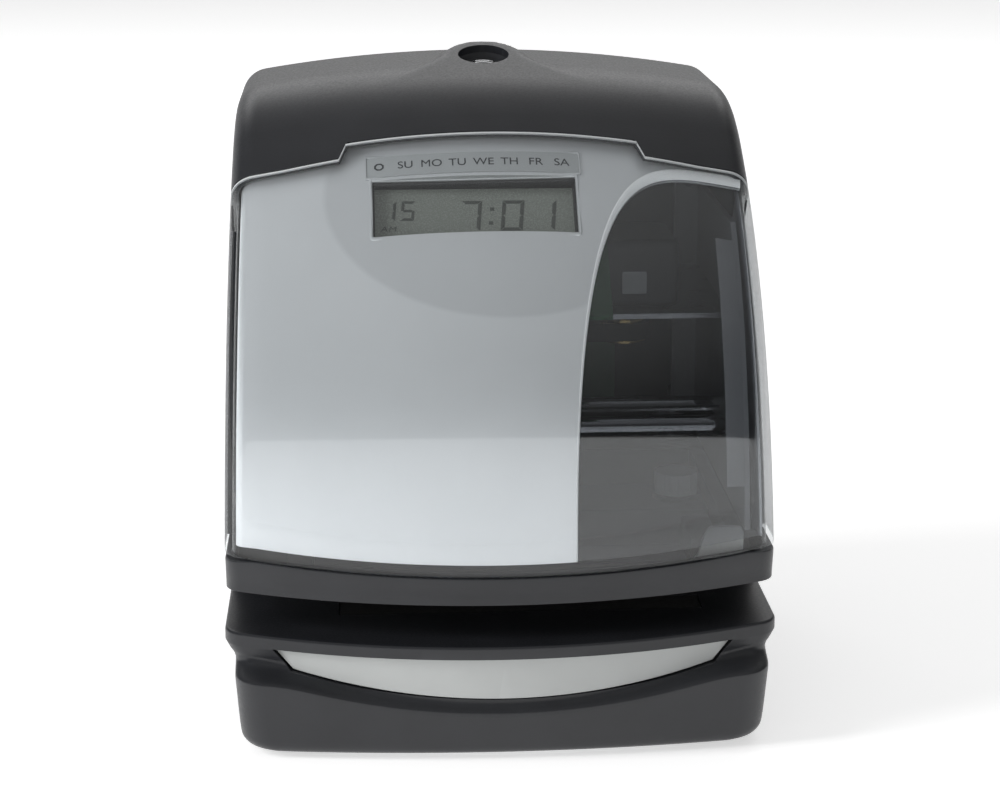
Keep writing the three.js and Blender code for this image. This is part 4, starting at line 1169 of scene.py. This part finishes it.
def crease_height(x):
    """Height of the crease: a shallow arc in the middle that levels off at the sides."""
    rise = CREASE_Z + CREASE_RISE * (x / CREASE_SPREAD) ** 2
    return CREASE_SIDE_Z - math.log1p(math.exp((CREASE_SIDE_Z - rise) * CREASE_BLEND)) / CREASE_BLEND


def section(front, half, bow, corner, rear, height_at):
    """A ring of the base, its front and rear set back from the lip and the back."""
    outline = plan_outline(LIP_Y + front, half, bow, corner, BACK_Y - rear)
    return [Vector((x, y, height_at(x))) for x, y in outline]


def smooth_rows(rows, per):
    """Rows on a smooth curve through the given ones, per of them for each gap."""
    result = [rows[0]]
    for i in range(len(rows) - 1):
        before = rows[max(0, i - 1)]
        after = rows[min(len(rows) - 1, i + 2)]
        for t in steps(0, 1, per)[1:]:
            row = []
            for p0, p1, p2, p3 in zip(before, rows[i], rows[i + 1], after):
                m1 = (p2 - p0) * 0.5 if i > 0 else p2 - p1
                m2 = (p3 - p1) * 0.5 if i + 2 < len(rows) else p2 - p1
                limit = (p2 - p1).length * 1.4
                m1 = m1 * min(1.0, limit / max(m1.length, 0.001))
                m2 = m2 * min(1.0, limit / max(m2.length, 0.001))
                t2, t3 = t * t, t * t * t
                row.append(
                    p1 * (2 * t3 - 3 * t2 + 1) + m1 * (t3 - 2 * t2 + t)
                    + p2 * (3 * t2 - 2 * t3) + m2 * (t3 - t2)
                )
            result.append(row)
    return result


def bar_outline(margin):
    """The push bar's outline seen from the front, shrunk by a margin."""
    top = LIP_FOOT - margin
    tip = BAR_TIP - margin * 1.6
    corner = BAR_LOWER_CORNER - margin
    low = BAR_LOWEST_Z + margin
    corner_z = BAR_LOWER_CORNER_Z + margin * 0.4
    outline = [(-tip, top)]
    outline += [(corner * s, mix(low, corner_z, s * s)) for s in steps(-1, 1, 64)]
    outline.append((tip, top))
    return outline


def base_housing():
    foot = FOOT_HALF_WIDTH
    waist = WAIST_HALF_WIDTH
    lower = [
        section(5.4, foot - 3.2, BASE_BOW_RADIUS, BASE_CORNER, 3.2, lambda x: BASE_UNDERSIDE),
        section(3.7, foot - 1.3, BASE_BOW_RADIUS, BASE_CORNER, 1.3, lambda x: BASE_UNDERSIDE + 1.3),
        section(2.6, foot, BASE_BOW_RADIUS, BASE_CORNER, 0, lambda x: BASE_UNDERSIDE + 4.2),
        section(0.3, waist, BASE_BOW_RADIUS, BASE_CORNER, 0, lambda x: crease_height(x) - 0.6),
    ]
    upper = [
        lower[-1],
        section(0.5, waist, BASE_BOW_RADIUS, BASE_CORNER, 0, lambda x: crease_height(x) + 0.8),
        section(2.6, waist + 0.1, 250, BASE_CORNER, 0, lambda x: crease_height(x) + 3.2),
        section(2.6, waist + 0.6, 210, LIP_CORNER, 0, lambda x: max(crease_height(x) + 4.8, 26)),
        section(1.2, waist + 1.7, 190, LIP_CORNER, 0, lambda x: LIP_FOOT - 2.2),
        section(0, LIP_HALF_WIDTH, LIP_BOW_RADIUS, LIP_CORNER, 0, lambda x: LIP_FOOT),
    ]
    rows = smooth_rows(lower, 5) + smooth_rows(upper, 5)[1:]
    for turn in steps(0, 90, 5):
        angle = math.radians(turn)
        inset = 0.9 * (1 - math.cos(angle))
        height = LIP_TOP - 0.9 + 0.9 * math.sin(angle)
        rows.append(
            section(inset, LIP_HALF_WIDTH - inset, LIP_BOW_RADIUS, LIP_CORNER, 0, lambda x: height)
        )
    obj = closed_stack("base_shell", rows)
    inner = plan_outline(LIP_Y + 8, FOOT_HALF_WIDTH - 5, 260, LIP_CORNER, BACK_Y - BASE_WALL, 24, 6)
    cut(obj, prism("base_cavity", inner, BASE_UNDERSIDE - 3, LIP_TOP - BASE_WALL, "z"))
    cut(obj, box("platen_cut", (SLOT_LEFT - 1, SLOT_FRONT + 2.5, 25), (SLOT_RIGHT + 1, SLOT_BACK - 2.5, 40)))
    cut(obj, prism("bar_cut", bar_outline(0), -90, -60, "y"))
    finish_shell(obj, 0.35)
    place_piece(obj, "base", BLACK, "base_housing", slot="black_plastic")


def finish_shell(obj, width):
    """Small rounded edges on a cut shell, with clean shading."""
    shade(obj)
    round_edges(obj, width, 3, 38)


def print_bar():
    outline = plan_outline(LIP_Y + 1.8, LIP_HALF_WIDTH, LIP_BOW_RADIUS, LIP_CORNER, BACK_Y)
    inner = plan_outline(LIP_Y + 5.4, LIP_HALF_WIDTH - 2, LIP_BOW_RADIUS, LIP_CORNER, BACK_Y)
    obj = prism("push_bar", outline, 10, 40, "z")
    cut(obj, prism("bar_hollow", inner, 5, 45, "z"))
    cut(obj, prism("bar_keep", bar_outline(BAR_CLEARANCE), -90, -58, "y"), "INTERSECT")
    join(obj, box("bar_stem", (-5, -72.5, 19.5), (5, -60, 23.5)))
    finish_shell(obj, 0.4)
    place_piece(obj, "bar", BAR, "print_bar", slot="bar_plastic")


def jaw_top(x, y):
    """Height of the jaw's upper edge, just under the lower edge of the cover."""
    front = COVER_BOTTOM + COVER_BOTTOM_RISE * min(1.0, abs(x) / JAW_FRONT_HALF) ** 2
    passed = clamp01((abs(x) - JAW_FRONT_HALF) / JAW_SIDE_RUN)
    height = CASE_BOTTOM if y > -40 else mix(front, CASE_BOTTOM, passed * passed)
    return height - mix(0.5, 1.2, passed)


def upper_jaw():
    def ring(lean_out, inset, height_at):
        outline = plan_outline(
            JAW_Y - lean_out + inset, JAW_HALF_WIDTH - inset, LIP_BOW_RADIUS, JAW_CORNER, BACK_Y - inset
        )
        return [Vector((x, y, height_at(x, y))) for x, y in outline]

    rows = [ring(0, 0.3, lambda x, y: LIP_TOP + GAP), ring(0, 0, lambda x, y: LIP_TOP + GAP + 0.3)]
    for share in steps(0, 1, 10):
        lean_out = JAW_LEAN * ease(share)
        rows.append(ring(lean_out, 0, lambda x, y: mix(MOUTH_TOP, jaw_top(x, y) - 0.5, share)))
    rows.append(ring(JAW_LEAN, 0.15, lambda x, y: jaw_top(x, y) - 0.15))
    rows.append(ring(JAW_LEAN, 0.5, jaw_top))
    obj = closed_stack("jaw_shell", rows)
    inner = plan_outline(
        JAW_Y + JAW_WALL, JAW_HALF_WIDTH - JAW_WALL, LIP_BOW_RADIUS, JAW_CORNER, BACK_Y - JAW_WALL, 24, 6
    )
    cut(obj, prism("jaw_hollow", inner, MOUTH_TOP + JAW_FLOOR, 62, "z"))
    cut(obj, box("mouth_cut", (-MOUTH_REACH, -MOUTH_REACH, 30), (MOUTH_REACH, MOUTH_BACK_Y, MOUTH_TOP)))
    cut(obj, box("well_cut", (-70, MOUTH_BACK_Y + 3, 30), (70, BACK_Y - 4, 50)))
    cut(obj, box("slot_cut", (SLOT_LEFT, SLOT_FRONT, 40), (SLOT_RIGHT, SLOT_BACK, 50)))
    finish_shell(obj, 0.3)
    place_piece(obj, "base", BLACK, "upper_jaw", slot="black_plastic")


def motor_plate():
    """Plain rating plate on the front of the carriage motor."""
    obj = prism("motor_plate", rounded_loop(*MOTOR_PLATE, 0.5), *MOTOR_PLATE_Y, "y")
    place_piece(obj, "base", PALE, slot="pale_resin")


hood()
clear_cover()
display_panel()
window_lens()
weekday_label()
label_printing()
screen_figures()
base_housing()
print_bar()
upper_jaw()
motor_plate()

SIDES = ("left", "right")
DRESS = {
    BLACK: ["rear_cover"],
    STEEL: [
        "bottom_plate", "platen_support", "cross_plate", "lock_catch", "lock_cam", "lock_nut",
        "idler_pin", *(f"rear_screw_{end}_{side}" for end in ("upper", "lower") for side in SIDES),
    ],
    FRAME_PAINT: [f"side_frame_{side}" for side in SIDES],
    RUBBER: [
        "platen_pad", "drive_belt", *(f"foot_{end}_{side}" for end in ("front", "rear") for side in SIDES),
    ],
    CHROME: ["guide_rod_front", "guide_rod_rear", "lock_barrel", "lock_plug"],
    RESIN: [
        "print_switch", "carriage", "print_head", "ribbon_cassette", "carriage_motor",
        "processor_chip", "capacitor_1", "capacitor_2", "dc_inlet", "lcd_frame",
    ],
    PALE: [
        "ribbon_tab", "ribbon_knob", "switch_plunger", *(f"setup_key_{n}" for n in range(1, 5)),
    ],
    BRASS: ["drive_pulley", "idler_pulley", "cam_screw"],
    BOARD: ["main_board", "display_board"],
    RIBBON: ["ribbon_band"],
    BATTERY: ["backup_battery"],
    SCREEN: ["lcd_glass"],
}
for material, names in DRESS.items():
    for name in names:
        dress_node(name, material)


# ---- studio ----
FLOOR_HALF = 4000.0
FLOOR_GLOW = 0.55
WALL_EDGE = (0.44, 0.45)
WALL_NARROWING = 0.15
WALL_NEAREST = 0.09
REAR_FADE = (0.0, 0.25)
DOME_LIGHT = (0.06, 0.42)
DOME_FADE = (0.4, 0.95)
AZIMUTH = math.radians(-3.5)
ELEVATION = math.radians(15)
CAMERA_PLACE = (-0.0365, -0.684, 0.268)
CAMERA_LENS = 85.3
CAMERA_SHIFT = -0.009


def floor():
    h = FLOOR_HALF
    obj = object_from("studio_floor", [(-h, -h, 0), (h, -h, 0), (h, h, 0), (-h, h, 0)], [(0, 1, 2, 3)])
    material, tree, shader = start_material("studio_floor", (0.9, 0.9, 0.9), 0.6)
    grain = noise(tree, coordinates(tree), 6.0, 2.0)
    color = blend_colors(tree, grain, (0.89,) * 3, (0.91,) * 3)
    feed(shader, "Base Color", color)
    feed(shader, "Emission Color", (1, 1, 1, 1))
    feed(shader, "Emission Strength", FLOOR_GLOW)
    paint(obj, material)


def surroundings():
    """White walls up to a curved edge, dimmer at the rear, under a soft dark dome."""
    world = bpy.data.worlds.new("studio")
    bpy.context.scene.world = world
    world.use_nodes = True
    tree = world.node_tree
    sky = tree.nodes["Background"]
    way = new_node(tree, "TexCoord").outputs["Generated"]
    x, y, z = new_node(tree, "SeparateXYZ", Vector=way).outputs
    forward = math_node(tree, "POWER", y, 2.0)
    sideways = math_node(tree, "MULTIPLY", math_node(tree, "POWER", x, 2.0), WALL_NARROWING)
    squared = math_node(tree, "MAXIMUM", math_node(tree, "SUBTRACT", forward, sideways), WALL_NEAREST)
    height = math_node(tree, "DIVIDE", z, math_node(tree, "SQRT", squared))
    wall = ramp(tree, height, 1.0, 0.0, *WALL_EDGE)
    rear = ramp(tree, y, 1.0, 0.5, *REAR_FADE)
    dome = ramp(tree, z, *DOME_LIGHT, *DOME_FADE)
    front = math_node(tree, "MULTIPLY", wall, rear)
    feed(sky, "Strength", math_node(tree, "MAXIMUM", front, dome))
    feed(sky, "Color", (1, 1, 1, 1))


def aim(name, data, place, direction):
    """A lamp or camera at a place, looking along a direction."""
    obj = bpy.data.objects.new(name, data)
    obj.location = place
    obj.rotation_euler = direction.to_track_quat("-Z", "Y").to_euler()
    bpy.context.scene.collection.objects.link(obj)
    return obj


def softbox(name, place, target, size, power):
    data = bpy.data.lights.new(name, "AREA")
    data.shape = "RECTANGLE"
    data.size, data.size_y = size
    data.energy = power
    return aim(name, data, place, Vector(target) - Vector(place))


def camera():
    data = bpy.data.cameras.new("camera")
    data.sensor_width = 36
    data.lens = CAMERA_LENS
    data.shift_x = CAMERA_SHIFT
    level = math.cos(ELEVATION)
    forward = Vector((-math.sin(AZIMUTH) * level, math.cos(AZIMUTH) * level, -math.sin(ELEVATION)))
    bpy.context.scene.camera = aim("camera", data, CAMERA_PLACE, forward)


def studio():
    floor()
    surroundings()
    softbox("rear_softbox", (0.0, 1.5, 1.1), (0, 0, 0.15), (2.2, 0.7), 7)
    fill = softbox("left_softbox", (-1.8, -0.42, 0.85), (0, 0, 0.1), (0.5, 1.5), 34)
    fill.visible_glossy = False


studio()
camera()
bpy.context.scene.view_settings.view_transform = "Standard"
